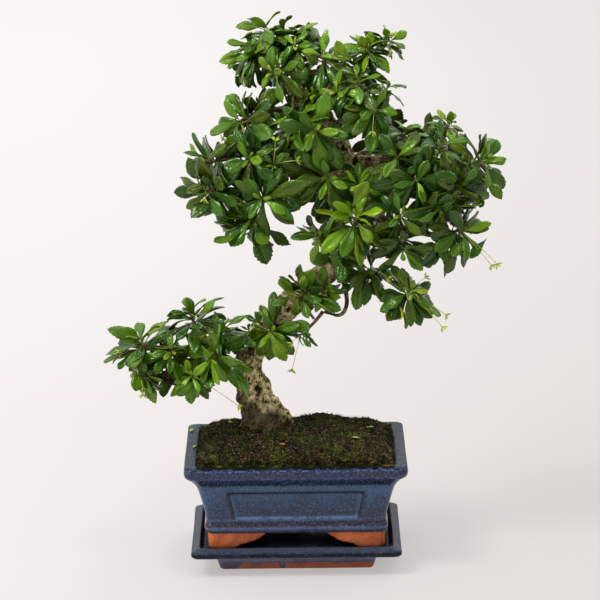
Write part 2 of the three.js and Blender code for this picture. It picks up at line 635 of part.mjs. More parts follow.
// Every shoot's stem, then its whorls. A leaf that would cross another shoot is drawn again.
function makeShoots(wood, otherSolids) {
  const neighbours = new Neighbours();
  otherSolids.forEach((solid) => neighbours.add('vessel', solid));
  const shoots = Object.entries(SHOOTS).flatMap(([pad, list]) => list.map(
    (row, i) => ({ name: `${pad}_shoot_${i + 1}`, frame: makeShootFrame(row), pieces: [] }),
  ));
  let carriers = wood;
  for (const { name, frame, pieces } of shoots) {
    pieces.push(outerPiece(makeStem(frame, 0).subtract(carriers), frame.stem.v2));
    carriers = carriers.add(makeStem(frame, GAP));
    neighbours.add(name, pieces[0]);
  }
  shoots.forEach(({ name, frame, pieces }, number) => {
    [[OLD_WHORL, OLD_ROWS], [YOUNG_WHORL, YOUNG_ROWS]].forEach(([whorl, rows], whorlNumber) => {
      const place = whorlPlace(frame, whorl);
      const seed = (number + 1) * 10007 + whorlNumber * 5003;
      const phase = whorlNumber * YOUNG_WHORL_TURN + (drawsFrom(seed)() - 0.5) * PHASE_SPREAD;
      const poses = [];
      for (let leaf = 0; leaf < whorl.leaves; leaf += 1) {
        for (let attempt = 0; attempt < LEAF_ATTEMPTS; attempt += 1) {
          const pose = leafPose(frame, whorl, leaf, phase, drawsFrom(seed + leaf * 101 + attempt + 1));
          const fits = !neighbours.touches(name, makeWhorl(frame, place, [...poses, pose], rows, GAP));
          if (fits) {
            poses.push(pose);
            break;
          }
        }
      }
      if (poses.length > 0) {
        const leaves = makeWhorl(frame, place, poses, rows, 0);
        neighbours.add(name, leaves);
        pieces.push(leaves);
      }
    });
  });
  return shoots;
}

const object = new THREE.Group();

function addPart(name, solid, finish) {
  const mesh = new THREE.Mesh(toGeometry(solid), new THREE.MeshStandardMaterial(finish));
  mesh.name = name;
  object.add(mesh);
}

const wood = makeWood(0);
const woodWithGap = makeWood(GAP);
const soil = makeSoil(woodWithGap);

addPart('saucer', makeSaucer(), BLUE_GLAZE);
addPart('pot', makePot(), BLUE_GLAZE);
addPart('drainage_screen_left', makeScreen(-DRAIN_X), BLACK_PLASTIC);
addPart('drainage_screen_right', makeScreen(DRAIN_X), BLACK_PLASTIC);
addPart('soil', soil, DARK_SOIL);
addPart('trunk', wood, BARK);
for (const { name, pieces } of makeShoots(woodWithGap, [woodWithGap, soil])) {
  addPart(name, wasm.Manifold.union(pieces), GREEN_LEAF);
}

export default object;
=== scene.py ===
# %% [markdown]
# # A fukien tea bonsai in a blue glazed pot
# This lesson finishes a small potted tree whose plain solids were made in CAD. Each step says what the
# piece is on the real tree, and how it could be made, and then makes it. First the CAD frame is loaded.
# Its nodes are already in their places, in metres, so everything here is built in the same frame.

# %% load the frame
import math
import random

import bpy
import numpy as np
from mathutils import Matrix, Quaternion, Vector, noise
from mathutils.kdtree import KDTree


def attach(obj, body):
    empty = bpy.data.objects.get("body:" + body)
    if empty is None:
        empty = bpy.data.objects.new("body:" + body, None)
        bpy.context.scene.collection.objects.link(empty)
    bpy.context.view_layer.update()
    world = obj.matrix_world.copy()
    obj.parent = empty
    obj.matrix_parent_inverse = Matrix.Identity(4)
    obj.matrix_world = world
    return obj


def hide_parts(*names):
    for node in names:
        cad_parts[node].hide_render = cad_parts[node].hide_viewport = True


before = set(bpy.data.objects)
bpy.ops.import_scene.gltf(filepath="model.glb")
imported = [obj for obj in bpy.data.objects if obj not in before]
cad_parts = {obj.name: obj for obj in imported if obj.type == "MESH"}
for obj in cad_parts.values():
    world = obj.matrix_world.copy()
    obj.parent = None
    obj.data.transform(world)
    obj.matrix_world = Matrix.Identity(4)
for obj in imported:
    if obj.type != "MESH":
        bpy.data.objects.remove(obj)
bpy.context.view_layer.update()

print("CAD nodes:", len(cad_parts))

# %% [markdown]
# ## Small helpers
# Sizes are written in millimetres, as they would be measured on the pot, and turned into metres in one
# place. Every piece is a mesh made from a list of points and a list of faces, so one helper makes them
# all. Others apply a modifier, move the points in or out, and keep three numbers with each point, which a
# material can read later, such as how old a leaf is.

# %% a piece from points and faces
MM = 0.001


def make_piece(name, points, faces, materials, face_materials=None, numbers=None):
    """A smooth piece from points in mm. numbers holds a list of triples, one a point, under each name."""
    mesh = bpy.data.meshes.new(name)
    mesh.from_pydata((np.asarray(points) * MM).tolist(), [], faces)
    for material in materials:
        mesh.materials.append(material)
    if face_materials is not None:
        mesh.polygons.foreach_set("material_index", np.asarray(face_materials, dtype=np.int32))
    for key, values in (numbers or {}).items():
        layer = mesh.attributes.new(key, "FLOAT_VECTOR", "POINT")
        layer.data.foreach_set("vector", np.asarray(values, dtype=np.float32).ravel())
    mesh.polygons.foreach_set("use_smooth", [True] * len(mesh.polygons))
    mesh.validate()
    piece = bpy.data.objects.new(name, mesh)
    bpy.context.scene.collection.objects.link(piece)
    return piece


def count_triangles(piece):
    return sum(len(face.vertices) - 2 for face in piece.data.polygons)


def apply_modifier(piece, kind, **settings):
    """Adds a modifier, works it out and keeps the result as the piece's own mesh."""
    modifier = piece.modifiers.new("step", kind)
    for key, value in settings.items():
        setattr(modifier, key, value)
    bpy.context.view_layer.update()
    result = piece.evaluated_get(bpy.context.evaluated_depsgraph_get())
    mesh = bpy.data.meshes.new_from_object(result)
    piece.modifiers.clear()
    old = piece.data
    piece.data = mesh
    bpy.data.meshes.remove(old)
    return piece


def move_points(piece, out_at):
    """Moves each point along its normal by what out_at gives in mm for its place in mm."""
    mesh = piece.data
    count = len(mesh.vertices)
    places = np.empty(count * 3, dtype=np.float32)
    normals = np.empty(count * 3, dtype=np.float32)
    mesh.vertices.foreach_get("co", places)
    mesh.vertex_normals.foreach_get("vector", normals)
    places = places.reshape(-1, 3) / MM
    outs = np.array([out_at(Vector(place)) for place in places])
    places = (places + normals.reshape(-1, 3) * outs[:, None]) * MM
    mesh.vertices.foreach_set("co", places.astype(np.float32).ravel())
    mesh.update()


def note_points(piece, name, numbers_at):
    """Keeps three numbers with each point of the piece, worked out from its place in mm, for the paint."""
    layer = piece.data.attributes.new(name, "FLOAT_VECTOR", "POINT")
    numbers = [numbers_at(vertex.co / MM) for vertex in piece.data.vertices]
    layer.data.foreach_set("vector", np.asarray(numbers, dtype=np.float32).ravel())


print("helpers ready")

# %% [markdown]
# ## The camera
# The picture is taken from in front and a little above, about 14 degrees, so that the soil shows behind
# the rim. The lines of the pot hardly converge, which means that the camera stands far away, nearly three
# metres, with a long lens. The pot's two long edges also lean by less than a degree, so the camera rolls.

# %% camera
CAMERA_PLACE = Vector((7.04, -2743.84, 913.89)) * MM
CAMERA_TARGET = Vector((5.6, 0, 237.4)) * MM
CAMERA_ROLL = math.radians(-0.66)
LENS_LENGTH_MM = 188.6
SENSOR_WIDTH_MM = 36

lens = bpy.data.cameras.new("camera")
lens.sensor_width = SENSOR_WIDTH_MM
lens.lens = LENS_LENGTH_MM
camera = bpy.data.objects.new("camera", lens)
camera.location = CAMERA_PLACE
camera.rotation_mode = "QUATERNION"
aim = (CAMERA_TARGET - CAMERA_PLACE).to_track_quat("-Z", "Y")
camera.rotation_quaternion = aim @ Quaternion((0, 0, 1), CAMERA_ROLL)
bpy.context.scene.collection.objects.link(camera)
bpy.context.scene.camera = camera
from_target = CAMERA_PLACE - CAMERA_TARGET
camera_rise = math.asin(from_target.z / from_target.length)
print("camera looks down by", round(math.degrees(camera_rise), 2), "degrees")

# %% [markdown]
# ## Writing materials
# Glaze, clay, bark and leaves are all painted by formulas: noise for the specks and patches, and the
# point's own height for what follows the pot's shape. The helpers below keep those formulas short. Most of
# them build masks, numbers that are 1 where something lies and 0 elsewhere, and lay one colour over
# another by a mask. A colour is given as it is read off a screen, from 0 to 255, and turned into the linear
# light that the renderer counts with.

# %% material helpers
def colour(red, green, blue):
    """Linear colour from screen values."""
    def linear(value):
        share = value / 255
        return share / 12.92 if share <= 0.04045 else ((share + 0.055) / 1.055) ** 2.4
    return (linear(red), linear(green), linear(blue), 1)


class Paint:
    """One material with its surface shader, and short names for the nodes that drive it."""

    def __init__(self, name):
        self.material = bpy.data.materials.new(name)
        self.material.use_nodes = True
        self.tree = self.material.node_tree
        self.surface = self.tree.nodes["Principled BSDF"]

    def node(self, kind, inputs, **settings):
        made = self.tree.nodes.new(kind)
        for key, value in settings.items():
            setattr(made, key, value)
        for socket, value in inputs.items():
            self.put(made.inputs[socket], value)
        return made

    def put(self, socket, value):
        if isinstance(value, bpy.types.NodeSocket):
            self.tree.links.new(value, socket)
        else:
            socket.default_value = value

    def set(self, **inputs):
        """Values for the surface shader. An underscore stands for a blank in the socket's name."""
        for key, value in inputs.items():
            self.put(self.surface.inputs[key.replace("_", " ")], value)

    def driver_of(self, name):
        """What drives one of the surface shader's sockets so far."""
        return self.surface.inputs[name].links[0].from_socket

    def place(self):
        return self.node("ShaderNodeTexCoord", {}).outputs["Object"]

    def number(self, name):
        """The three numbers that each point of the mesh holds under this name."""
        return self.split(self.node("ShaderNodeAttribute", {}, attribute_name=name).outputs["Vector"])

    def split(self, vector):
        parts = self.node("ShaderNodeSeparateXYZ", {"Vector": vector})
        return [parts.outputs[axis] for axis in "XYZ"]

    def noise(self, size_mm, detail=3, rough=0.55, stretch=None):
        """Cloudy noise from 0 to 1 whose patches are about size_mm across."""
        where = self.place()
        if stretch:
            where = self.node("ShaderNodeMapping", {"Vector": where, "Scale": stretch}).outputs["Vector"]
        settings = {"Vector": where, "Scale": 1000 / size_mm, "Detail": detail, "Roughness": rough}
        return self.node("ShaderNodeTexNoise", settings).outputs["Fac"]

    def math(self, operation, first, second=0.0, clamp=False):
        made = self.node("ShaderNodeMath", {0: first, 1: second}, operation=operation, use_clamp=clamp)
        return made.outputs[0]

    def plus(self, first, second, clamp=False):
        return self.math("ADD", first, second, clamp)

    def minus(self, first, second):
        return self.math("SUBTRACT", first, second)

    def times(self, first, *others):
        """A product. That of several masks is 1 only where all of them are."""
        for other in others:
            first = self.math("MULTIPLY", first, other)
        return first

    def size_of(self, value):
        """The value without its sign."""
        return self.math("ABSOLUTE", value)

    def shaken(self, value, cloud, by_mm):
        """A place moved to and fro by a noise."""
        return self.plus(value, self.times(self.minus(cloud, 0.5), by_mm * MM))

    def lowered(self, value, mask, share):
        """The value, with this share of it taken away where the mask is 1."""
        return self.times(value, self.minus(1.0, self.times(mask, share)))

    def between(self, value, low, high):
        """0 below low, 1 above high and soft between them; low may be the larger."""
        made = self.node("ShaderNodeMapRange", {"Value": value, "From Min": low, "From Max": high})
        made.interpolation_type = "SMOOTHSTEP"
        return made.outputs["Result"]

    def past(self, place, edge_mm):
        """0 before the first of two places in mm and 1 past the second."""
        return self.between(place, edge_mm[0] * MM, edge_mm[1] * MM)

    def ramp(self, value, stops):
        """A colour for each value, from a list of (position, screen colour)."""
        made = self.node("ShaderNodeValToRGB", {"Fac": value})
        elements = made.color_ramp.elements
        while len(elements) < len(stops):
            elements.new(0.5)
        for element, (position, shade) in zip(elements, stops):
            element.position = position
            element.color = colour(*shade)
        return made.outputs["Color"]

    def mix(self, share, first, second, blend="MIX"):
        made = self.node("ShaderNodeMix", {}, data_type="RGBA", blend_type=blend)
        self.put(made.inputs["Factor"], share)
        self.put(made.inputs[6], first)
        self.put(made.inputs[7], second)
        return made.outputs[2]

    def lay(self, base, shade, mask, strength=None):
        """The base colour with another laid over it where the mask is 1, at this strength."""
        share = mask if strength is None else self.times(mask, strength)
        return self.mix(share, base, shade)

    def bump(self, height, depth_mm, strength=1.0):
        settings = {"Height": height, "Distance": depth_mm * MM, "Strength": strength}
        made = self.node("ShaderNodeBump", settings)
        self.put(self.surface.inputs["Normal"], made.outputs["Normal"])


print("a mid grey is", round(colour(128, 128, 128)[0], 3), "in linear light")

# %% [markdown]
# ## The table and the backdrop
# The tree stands on a seamless pale sweep, nearly white at the back and a little warmer and darker
# towards the front. A wide flat disc does the same from every side. Its colour follows the distance from
# front to back, because the real sweep catches more light further away, and it is a little darker towards
# the right, where the shadow falls: both are painted light and shade. It also has a painted glow, which
# keeps the shadow on it faint.

# %% floor
FLOOR_RADIUS = 9000
FLOOR_SIDES = 96
FLOOR_Z = -0.2
SWEEP_DEPTH = (-1000, 3000)
SWEEP_WIDTH = (-500, 600)
FLOOR_PAINTED_GLOW = 0.61

floor_angles = np.linspace(0, 2 * math.pi, FLOOR_SIDES, endpoint=False)
floor_points = [(FLOOR_RADIUS * math.cos(a), FLOOR_RADIUS * math.sin(a), FLOOR_Z) for a in floor_angles]
paint = Paint("pale_sweep")
floor_x, floor_y, _ = paint.split(paint.place())
# Painted light and shade: the floor is lighter further back and a little darker towards the right.
floor_painted_light = paint.ramp(
    paint.past(floor_y, SWEEP_DEPTH),
    [(0, (222, 217, 215)), (0.3, (226, 222, 220)), (1, (248, 246, 245))],
)
floor_painted_light = paint.mix(paint.past(floor_x, SWEEP_WIDTH), floor_painted_light, colour(238, 236, 235), "MULTIPLY")
paper = paint.mix(1.0, floor_painted_light, colour(168, 168, 168), "MULTIPLY")
# The floor's emission is a painted glow, which lifts its shadows.
paint.set(Base_Color=paper, Roughness=0.95, Specular_IOR_Level=0.1, Emission_Color=floor_painted_light,
          Emission_Strength=FLOOR_PAINTED_GLOW)
floor = make_piece("floor", floor_points, [list(range(FLOOR_SIDES))], [paint.material])
print("floor disc across in m:", 2 * FLOOR_RADIUS * MM)

# %% [markdown]
# ## Soft studio light
# The shadow beside the saucer is faint, wide and falls to the right and slightly back. So most light
# comes from all round, as in a white room that is dark behind the camera and bright overhead and at the
# back, which keeps the pot's front deep blue and its rim pale. The shadow comes from one large soft lamp
# high at the left and a little in front. Three weaker ones give the glossy leaves and the glaze something
# to reflect: one low at the left in front, one overhead, and one behind at the right for the crown's edge.

# %% world and lamps
SKY_STOPS = [(0, 0.22), (0.25, 0.45), (0.5, 0.9), (0.8, 1.15)]
SKY_TINT = (1, 0.995, 0.985)
SKY_BRIGHT_TOWARDS = (-0.08, 0.3, 0.75)
SKY_LIFT = 0.12
CROWN_MIDDLE = Vector((0, 0, 0.25))
LAMPS = {
    "key_lamp": {"place": (-1.35, -0.95, 2.1), "width": 0.85, "watts": 36},
    "back_lamp": {"place": (1.1, 1.3, 1.6), "width": 0.8, "watts": 6},
    "window_lamp": {"place": (-2.1, -2.3, 1.25), "width": 0.6, "watts": 17},
    "top_lamp": {"place": (0.25, -0.7, 2.1), "width": 0.4, "watts": 6},
}

world = bpy.data.worlds.new("white_room")
world.use_nodes = True
bpy.context.scene.world = world
sky = world.node_tree
sky_direction = sky.nodes.new("ShaderNodeTexCoord")
sky_tilt = sky.nodes.new("ShaderNodeVectorMath")
sky_tilt.operation = "DOT_PRODUCT"
sky_tilt.inputs[1].default_value = SKY_BRIGHT_TOWARDS
sky_lift = sky.nodes.new("ShaderNodeMath")
sky_lift.inputs[1].default_value = SKY_LIFT
sky_ramp = sky.nodes.new("ShaderNodeValToRGB")
sky.links.new(sky_direction.outputs["Generated"], sky_tilt.inputs[0])
sky.links.new(sky_tilt.outputs["Value"], sky_lift.inputs[0])
sky.links.new(sky_lift.outputs[0], sky_ramp.inputs["Fac"])
while len(sky_ramp.color_ramp.elements) < len(SKY_STOPS):
    sky_ramp.color_ramp.elements.new(0.5)
for element, (position, light) in zip(sky_ramp.color_ramp.elements, SKY_STOPS):
    element.position = position
    element.color = (*(light * part for part in SKY_TINT), 1)
sky.links.new(sky_ramp.outputs["Color"], sky.nodes["Background"].inputs["Color"])
sky.nodes["Background"].inputs["Strength"].default_value = 1.0

for name, row in LAMPS.items():
    lamp = bpy.data.lights.new(name, "AREA")
    lamp.shape = "DISK"
    lamp.size = row["width"]
    lamp.energy = row["watts"]
    holder = bpy.data.objects.new(name, lamp)
    holder.location = row["place"]
    holder.rotation_mode = "QUATERNION"
    holder.rotation_quaternion = (CROWN_MIDDLE - Vector(row["place"])).to_track_quat("-Z", "Y")
    bpy.context.scene.collection.objects.link(holder)
    print(name, "stands at", round((holder.location - CROWN_MIDDLE).length, 2), "m")
bpy.context.scene.view_settings.view_transform = "Standard"

# %% [markdown]
# ## Blue glaze
# The pot was dipped in a dark cobalt glaze that breaks where it runs thin: bright blue lines sit on the
# edges that face up, and brown-purple bands lie just under them, with fine pale specks all over. Those
# bands follow the pot's height, so one colour ramp along Z paints them, with the height shaken by noise
# to make the lines wander. The tops of the rims are duller, as they are where hands and water touch them.

# %% glaze colours
GLAZE_LOW = 33
GLAZE_HIGH = 102
POT_BANDS = [
    (35, (88, 76, 86)), (37.8, (90, 78, 90)), (39, (94, 110, 152)), (41, (86, 100, 142)),
    (42.4, (56, 44, 56)), (46, (48, 40, 52)), (48.4, (60, 70, 98)), (51, (40, 50, 74)),
    (62, (46, 66, 98)), (73, (52, 79, 118)), (78, (60, 88, 124)), (82.2, (54, 76, 106)),
    (84.2, (26, 34, 52)), (87.4, (24, 32, 50)), (89.8, (36, 48, 78)), (91.4, (46, 58, 96)),
    (94, (36, 40, 72)), (96.5, (29, 29, 54)), (98.6, (28, 36, 70)), (99.8, (30, 38, 58)),
    (101, (28, 33, 41)),
]
POT_STREAKS = [(99.3, 1.2), (40.2, 1.1), (91.2, 0.7)]
COBALT = colour(86, 112, 184)
NOISE_SPREAD = 2.4
DULL_WITHIN = 0.6


def glaze_paint(name, bands, streaks, low, high, wander_mm, dull_above, pale_specks):
    """A speckled glossy glaze whose colour follows the height by the bands, with broken cobalt streaks."""
    paint = Paint(name)
    height = paint.split(paint.place())[2]
    line = paint.shaken(height, paint.noise(7, 3), NOISE_SPREAD * wander_mm)
    along = paint.node("ShaderNodeMapRange", {
        "Value": line, "From Min": low * MM, "From Max": high * MM}).outputs["Result"]
    base = paint.ramp(along, [((z - low) / (high - low), shade) for z, shade in bands])
    base = paint.lay(base, colour(44, 36, 60), paint.between(paint.noise(22, 4), 0.44, 0.66), 0.45)
    specks = paint.noise(1.7, 2, 0.6)
    base = paint.lay(base, colour(96, 126, 160), paint.between(specks, 0.5, 0.66), pale_specks)
    base = paint.lay(base, colour(20, 24, 40), paint.between(specks, 0.47, 0.32), 0.45)
    broken = paint.between(paint.noise(3.0, 3, 0.65), 0.46, 0.62)
    outside = paint.number("glaze_place")[2]
    for z, half in streaks:
        near = paint.past(paint.size_of(paint.minus(line, z * MM)), (half, 0.0))
        base = paint.lay(base, COBALT, paint.times(near, broken, outside))
    dull = paint.past(height, (dull_above, dull_above + DULL_WITHIN))
    rough = paint.plus(paint.times(paint.noise(9, 3), 0.16), paint.plus(paint.times(dull, 0.24), 0.1))
    shine = paint.minus(0.42, paint.times(dull, 0.28))
    paint.set(Base_Color=base, Roughness=rough, Specular_IOR_Level=shine)
    paint.bump(paint.plus(paint.noise(3.2, 2), paint.times(paint.noise(14, 2), 2)), 0.12, 0.5)
    return paint


print("glaze bands:", len(POT_BANDS))

# %% [markdown]
# ## Painted shade and highlights on the pot's glaze
# The edge of each panel is painted dark along its top and sides, as painted shadow under its overhang, and
# light on its lower lip and, less, on its sides, as painted highlight; how much of each a point has is
# worked out later, with the pot's shape, and kept under the name glaze_place. The long panels are painted a
# little darker than the wall round them, partly as painted shade, since they catch less light, and partly
# for a darker glaze. On the front rim wet soil was spilled, which lies there dark and matt, with a ragged
# edge.

# %% pot glaze
SHADED_PANEL = {"sides": (59, 56), "bottom": (48, 50), "top": (80, 77)}
SPILLED_SOIL = {"above": (100.2, 100.7), "sides": (89.5, 86.5), "front": (-75.5, -73.5), "back": (-60, -62)}
RAGGED_MM = 12

pot_glaze = glaze_paint("pot_glaze", POT_BANDS, POT_STREAKS, GLAZE_LOW, GLAZE_HIGH,
                        wander_mm=1.1, dull_above=100.4, pale_specks=0.4)
panel_painted_shadow, panel_painted_highlight, _ = pot_glaze.number("glaze_place")
glaze_x, glaze_y, glaze_z = pot_glaze.split(pot_glaze.place())
in_panel = pot_glaze.times(
    pot_glaze.past(pot_glaze.size_of(glaze_x), SHADED_PANEL["sides"]),
    pot_glaze.past(glaze_z, SHADED_PANEL["bottom"]),
    pot_glaze.past(glaze_z, SHADED_PANEL["top"]),
)
spilled = pot_glaze.times(
    pot_glaze.past(glaze_z, SPILLED_SOIL["above"]),
    pot_glaze.past(pot_glaze.size_of(glaze_x), SPILLED_SOIL["sides"]),
    pot_glaze.past(pot_glaze.shaken(glaze_y, pot_glaze.noise(6, 3), RAGGED_MM), SPILLED_SOIL["front"]),
    pot_glaze.past(glaze_y, SPILLED_SOIL["back"]),
)
highlight_patches = pot_glaze.between(pot_glaze.noise(4, 3), 0.25, 0.5)
# Painted shadow along the panel's top and sides, and painted highlight on its lower lip.
wall_colour = pot_glaze.lay(pot_glaze.driver_of("Base Color"), colour(22, 17, 30), panel_painted_shadow, 0.92)
wall_colour = pot_glaze.lay(wall_colour, colour(100, 134, 180), panel_painted_highlight, highlight_patches)
# The panels are painted darker: partly painted shade, partly a darker glaze.
wall_colour = pot_glaze.lay(wall_colour, colour(22, 26, 40), in_panel, 0.14)
wall_colour = pot_glaze.lay(wall_colour, colour(18, 16, 10), spilled, 0.9)
pot_glaze.set(
    Base_Color=wall_colour,
    Roughness=pot_glaze.plus(pot_glaze.driver_of("Roughness"), pot_glaze.times(spilled, 0.6), clamp=True),
    Specular_IOR_Level=pot_glaze.lowered(pot_glaze.driver_of("Specular IOR Level"), spilled, 0.8),
)
print("soil spilled on the rim, from y", SPILLED_SOIL["front"][0], "to", SPILLED_SOIL["back"][0])

# %% [markdown]
# ## Bare clay
# Feet stay unglazed, or they would stick to the kiln shelf. They show the orange earthenware itself,
# matt and slightly sandy. A soft noise for the fired patches and a fine one for the grain are enough.

# %% clay
def clay_colour(paint):
    fired = paint.between(paint.noise(16, 3), 0.35, 0.68)
    grain = paint.between(paint.noise(1.6, 2), 0.5, 0.75)
    patches = paint.mix(fired, colour(196, 106, 64), colour(160, 82, 50))
    return paint.lay(patches, colour(224, 150, 104), grain, 0.4)


clay = Paint("bare_clay")
clay.set(Base_Color=clay_colour(clay), Roughness=0.88, Specular_IOR_Level=0.25)
clay.bump(clay.noise(1.4, 3), 0.25, 0.6)
print("clay ready")

# %% [markdown]
# ## Rings for the pot and the saucer
# Pot and saucer are pressed in moulds. Both are stacks of rounded rectangles: a profile says how wide the
# rectangle is at each height, and neighbouring rings are joined by quads. Columns of points are set
# where the sunk panels have their edges, so that these stay straight and crisp.

# %% rounded rectangle rings
CORNER_STEPS = 8


def side_stops(edge, half_bevel, outer, inner):
    """Places along a side, from -1 to 1, with close ones round the panel's edge."""
    inside = np.linspace(0, edge - half_bevel, inner)
    bevel = np.linspace(edge - half_bevel, edge + half_bevel, 5)[1:]
    outside = np.linspace(edge + half_bevel, 1, outer)[1:]
    half = np.concatenate([inside, bevel, outside])
    return np.concatenate([-half[:0:-1], half])


def ring_points(half_x, half_y, corner, z, long_stops, short_stops):
    """A rounded rectangle, anticlockwise from above, with the side and place along it for each point."""
    points = []
    notes = []
    for turn in range(4):
        across, run, stops = (
            (half_x, half_y, short_stops) if turn % 2 == 0 else (half_y, half_x, long_stops)
        )
        rotate = Matrix.Rotation(turn * math.pi / 2, 2)
        for stop in stops:
            points.append((*(rotate @ Vector((across, stop * (run - corner)))), z))
            notes.append((turn, stop * (run - corner)))
        for step in range(1, CORNER_STEPS):
            angle = step / CORNER_STEPS * math.pi / 2
            local = (across - corner * (1 - math.cos(angle)), run - corner * (1 - math.sin(angle)))
            points.append((*(rotate @ Vector(local)), z))
            notes.append((turn, None))
    return points, notes


def stack_faces(ring_size, rings):
    """Quads between neighbouring rings and a flat cap at each end."""
    faces = []
    for ring in range(rings - 1):
        for i in range(ring_size):
            a = ring * ring_size + i
            b = ring * ring_size + (i + 1) % ring_size
            faces.append((a, b, b + ring_size, a + ring_size))
    last = (rings - 1) * ring_size
    faces.append(tuple(range(ring_size - 1, -1, -1)))
    faces.append(tuple(range(last, last + ring_size)))
    return faces


print("points in a ring:", len(ring_points(100, 75, 8, 0, side_stops(0.7, 0.02, 6, 12),
                                          side_stops(0.6, 0.02, 6, 12))[0]))

# %% [markdown]
# ## The pot's wall
# The wall stands on a small base moulding, leans outwards past a sunk panel on each side, and turns out
# through a cove into a thick rim. These are the CAD's sizes, but for the panel's lower edge, which is
# set 2 mm lower, where the picture shows it. The profile is read at many heights and averaged over a
# millimetre and a half, which rounds every edge as a thick glaze does.

# %% pot outline
POT_SHORTER_Y = 25
POT_PROFILE = [
    (79.4, 35.5, 6), (81.8, 39.5, 6), (82.4, 43, 6), (81, 46.5, 6), (81.4, 54, 6.5), (86.8, 75, 7),
    (88.4, 80, 7), (90.4, 83.6, 7), (94.2, 88, 7.5), (98.2, 91, 8), (99.6, 93.5, 8), (100, 97, 8),
    (99.4, 101.5, 8),
]
PANEL_TOP = {"z": 75, "x": 60}
PANEL_BOTTOM = {"z": 48.4, "x": 54.5}
PANEL_DEPTH = 1.8
PANEL_BEVEL = 1.0
EDGE_SOFTNESS = 0.8
WALL_LOW = 36.2
WALL_HIGH = 101
WALL_STEP = 1.15
UNDERSIDE_ROWS = [(78.6, 35.5, 5.6), (79.5, 35.8, 6)]
RIM_TOP_ROWS = [
    (98.9, 101.3, 7.6), (98, 101.5, 7.2), (94, 101.5, 7), (90.4, 101.4, 6.6), (89.2, 101, 6.3),
    (88.6, 100.2, 6),
]
INSIDE_ROWS = [(88.3, 98, 6), (86.5, 93.5, 6), (78.8, 75, 6), (74.4, 43, 5)]

profile_z = [row[1] for row in POT_PROFILE]


def read_profile(z, column, softness=EDGE_SOFTNESS):
    values = [row[column] for row in POT_PROFILE]
    samples = z + np.linspace(-softness, softness, 7)
    return float(np.mean(np.interp(samples, profile_z, values)))


def rows_round(z, reach=0.7):
    """Five close heights round an edge of the panel, which keep it crisp."""
    return {*np.round(np.linspace(z - reach, z + reach, 5), 2)}


heights = sorted({*np.round(np.arange(WALL_LOW, WALL_HIGH, WALL_STEP), 2)}
                 | rows_round(PANEL_BOTTOM["z"]) | rows_round(PANEL_TOP["z"]))
pot_rows = UNDERSIDE_ROWS + [(read_profile(z, 0), z, read_profile(z, 2)) for z in heights]
pot_rows += RIM_TOP_ROWS + INSIDE_ROWS
print("pot rows:", len(pot_rows))

# %% [markdown]
# ## Sinking the panels
# Each panel is pushed in along the wall's outward direction. How far a point goes in is the product of
# two soft steps, one across the panel's sloping ends and one across its top and bottom edge.

# %% pot body
OUTWARD = [(1, 0), (0, 1), (-1, 0), (0, -1)]
LARGEST_PANEL_SHARE = 0.9
PLAIN_SHARES = (0.75, 0.62)
FLOOR_ROWS = 2


def soft_step(value):
    value = min(max(value, 0.0), 1.0)
    return value * value * (3 - 2 * value)


def panel_half_width(z, shorter):
    share = (z - PANEL_BOTTOM["z"]) / (PANEL_TOP["z"] - PANEL_BOTTOM["z"])
    share = min(max(share, 0.0), 1.0)
    return PANEL_BOTTOM["x"] + share * (PANEL_TOP["x"] - PANEL_BOTTOM["x"]) - shorter


def panel_sink(z, along, half_width):
    """How deep a point at this height and distance from the side's middle lies in the panel."""
    across = soft_step((half_width - abs(along)) / (2 * PANEL_BEVEL) + 0.5)
    above = soft_step((z - PANEL_BOTTOM["z"]) / (2 * PANEL_BEVEL) + 0.5)
    below = soft_step((PANEL_TOP["z"] - z) / (2 * PANEL_BEVEL) + 0.5)
    return PANEL_DEPTH * across * above * below


def hand_pressed(point, reach=0.35, size=45):
    """The small unevenness of pressed clay, in mm, at a point. It is the same in each run."""
    spot = Vector(point) / size
    shift_x = noise.noise(spot)
    shift_y = noise.noise(spot + Vector((0, 0, 37)))
    return (point[0] + reach * shift_x, point[1] + reach * shift_y, point[2])


def panel_stops(half_width, run, plain_share, in_floor, inner):
    """Stops along a side with the close ones at the panel's edge, or at a plain place where it has none."""
    share = half_width / run
    if share > LARGEST_PANEL_SHARE or in_floor:
        share = plain_share
    return side_stops(share, PANEL_BEVEL * 1.1 / run, 9, inner)


pot_points = []
for row_number, (half, z, corner) in enumerate(pot_rows):
    half_y = half - POT_SHORTER_Y
    widths = (panel_half_width(z, 0), panel_half_width(z, POT_SHORTER_Y))
    in_floor = row_number >= len(pot_rows) - FLOOR_ROWS
    ring, notes = ring_points(
        half, half_y, corner, z,
        panel_stops(widths[0], half - corner, PLAIN_SHARES[0], in_floor, 30),
        panel_stops(widths[1], half_y - corner, PLAIN_SHARES[1], in_floor, 18),
    )
    outside = row_number < len(heights) + len(UNDERSIDE_ROWS)
    for point, (turn, along) in zip(ring, notes):
        sink = 0.0
        if outside and along is not None:
            sink = panel_sink(z, along, widths[0] if turn % 2 else widths[1])
        x, y = OUTWARD[turn]
        pot_points.append(hand_pressed((point[0] - x * sink, point[1] - y * sink, z)))
pot_ring = len(pot_points) // len(pot_rows)
pot_body = make_piece("pot_body", pot_points, stack_faces(pot_ring, len(pot_rows)), [pot_glaze.material])
print("pot body triangles:", count_triangles(pot_body))

# %% [markdown]
# ## Drainage holes
# A bonsai pot drains through two holes in its floor, under plastic mesh. They are cut with a Boolean
# difference, as the potter cuts them from the soft clay. After that each point of the finished pot is
# told how much painted shadow or painted highlight it carries, for the paint.

# %% drains
DRAIN_X = 45
DRAIN_RADIUS = 9
DRILL_LOW = 25
DRILL_HIGH = 60
DRILL_SIDES = 40


def merge_lists(parts):
    """Several (points, faces) as one."""
    points = []
    faces = []
    for some_points, some_faces in parts:
        faces += [tuple(i + len(points) for i in face) for face in some_faces]
        points += some_points
    return points, faces


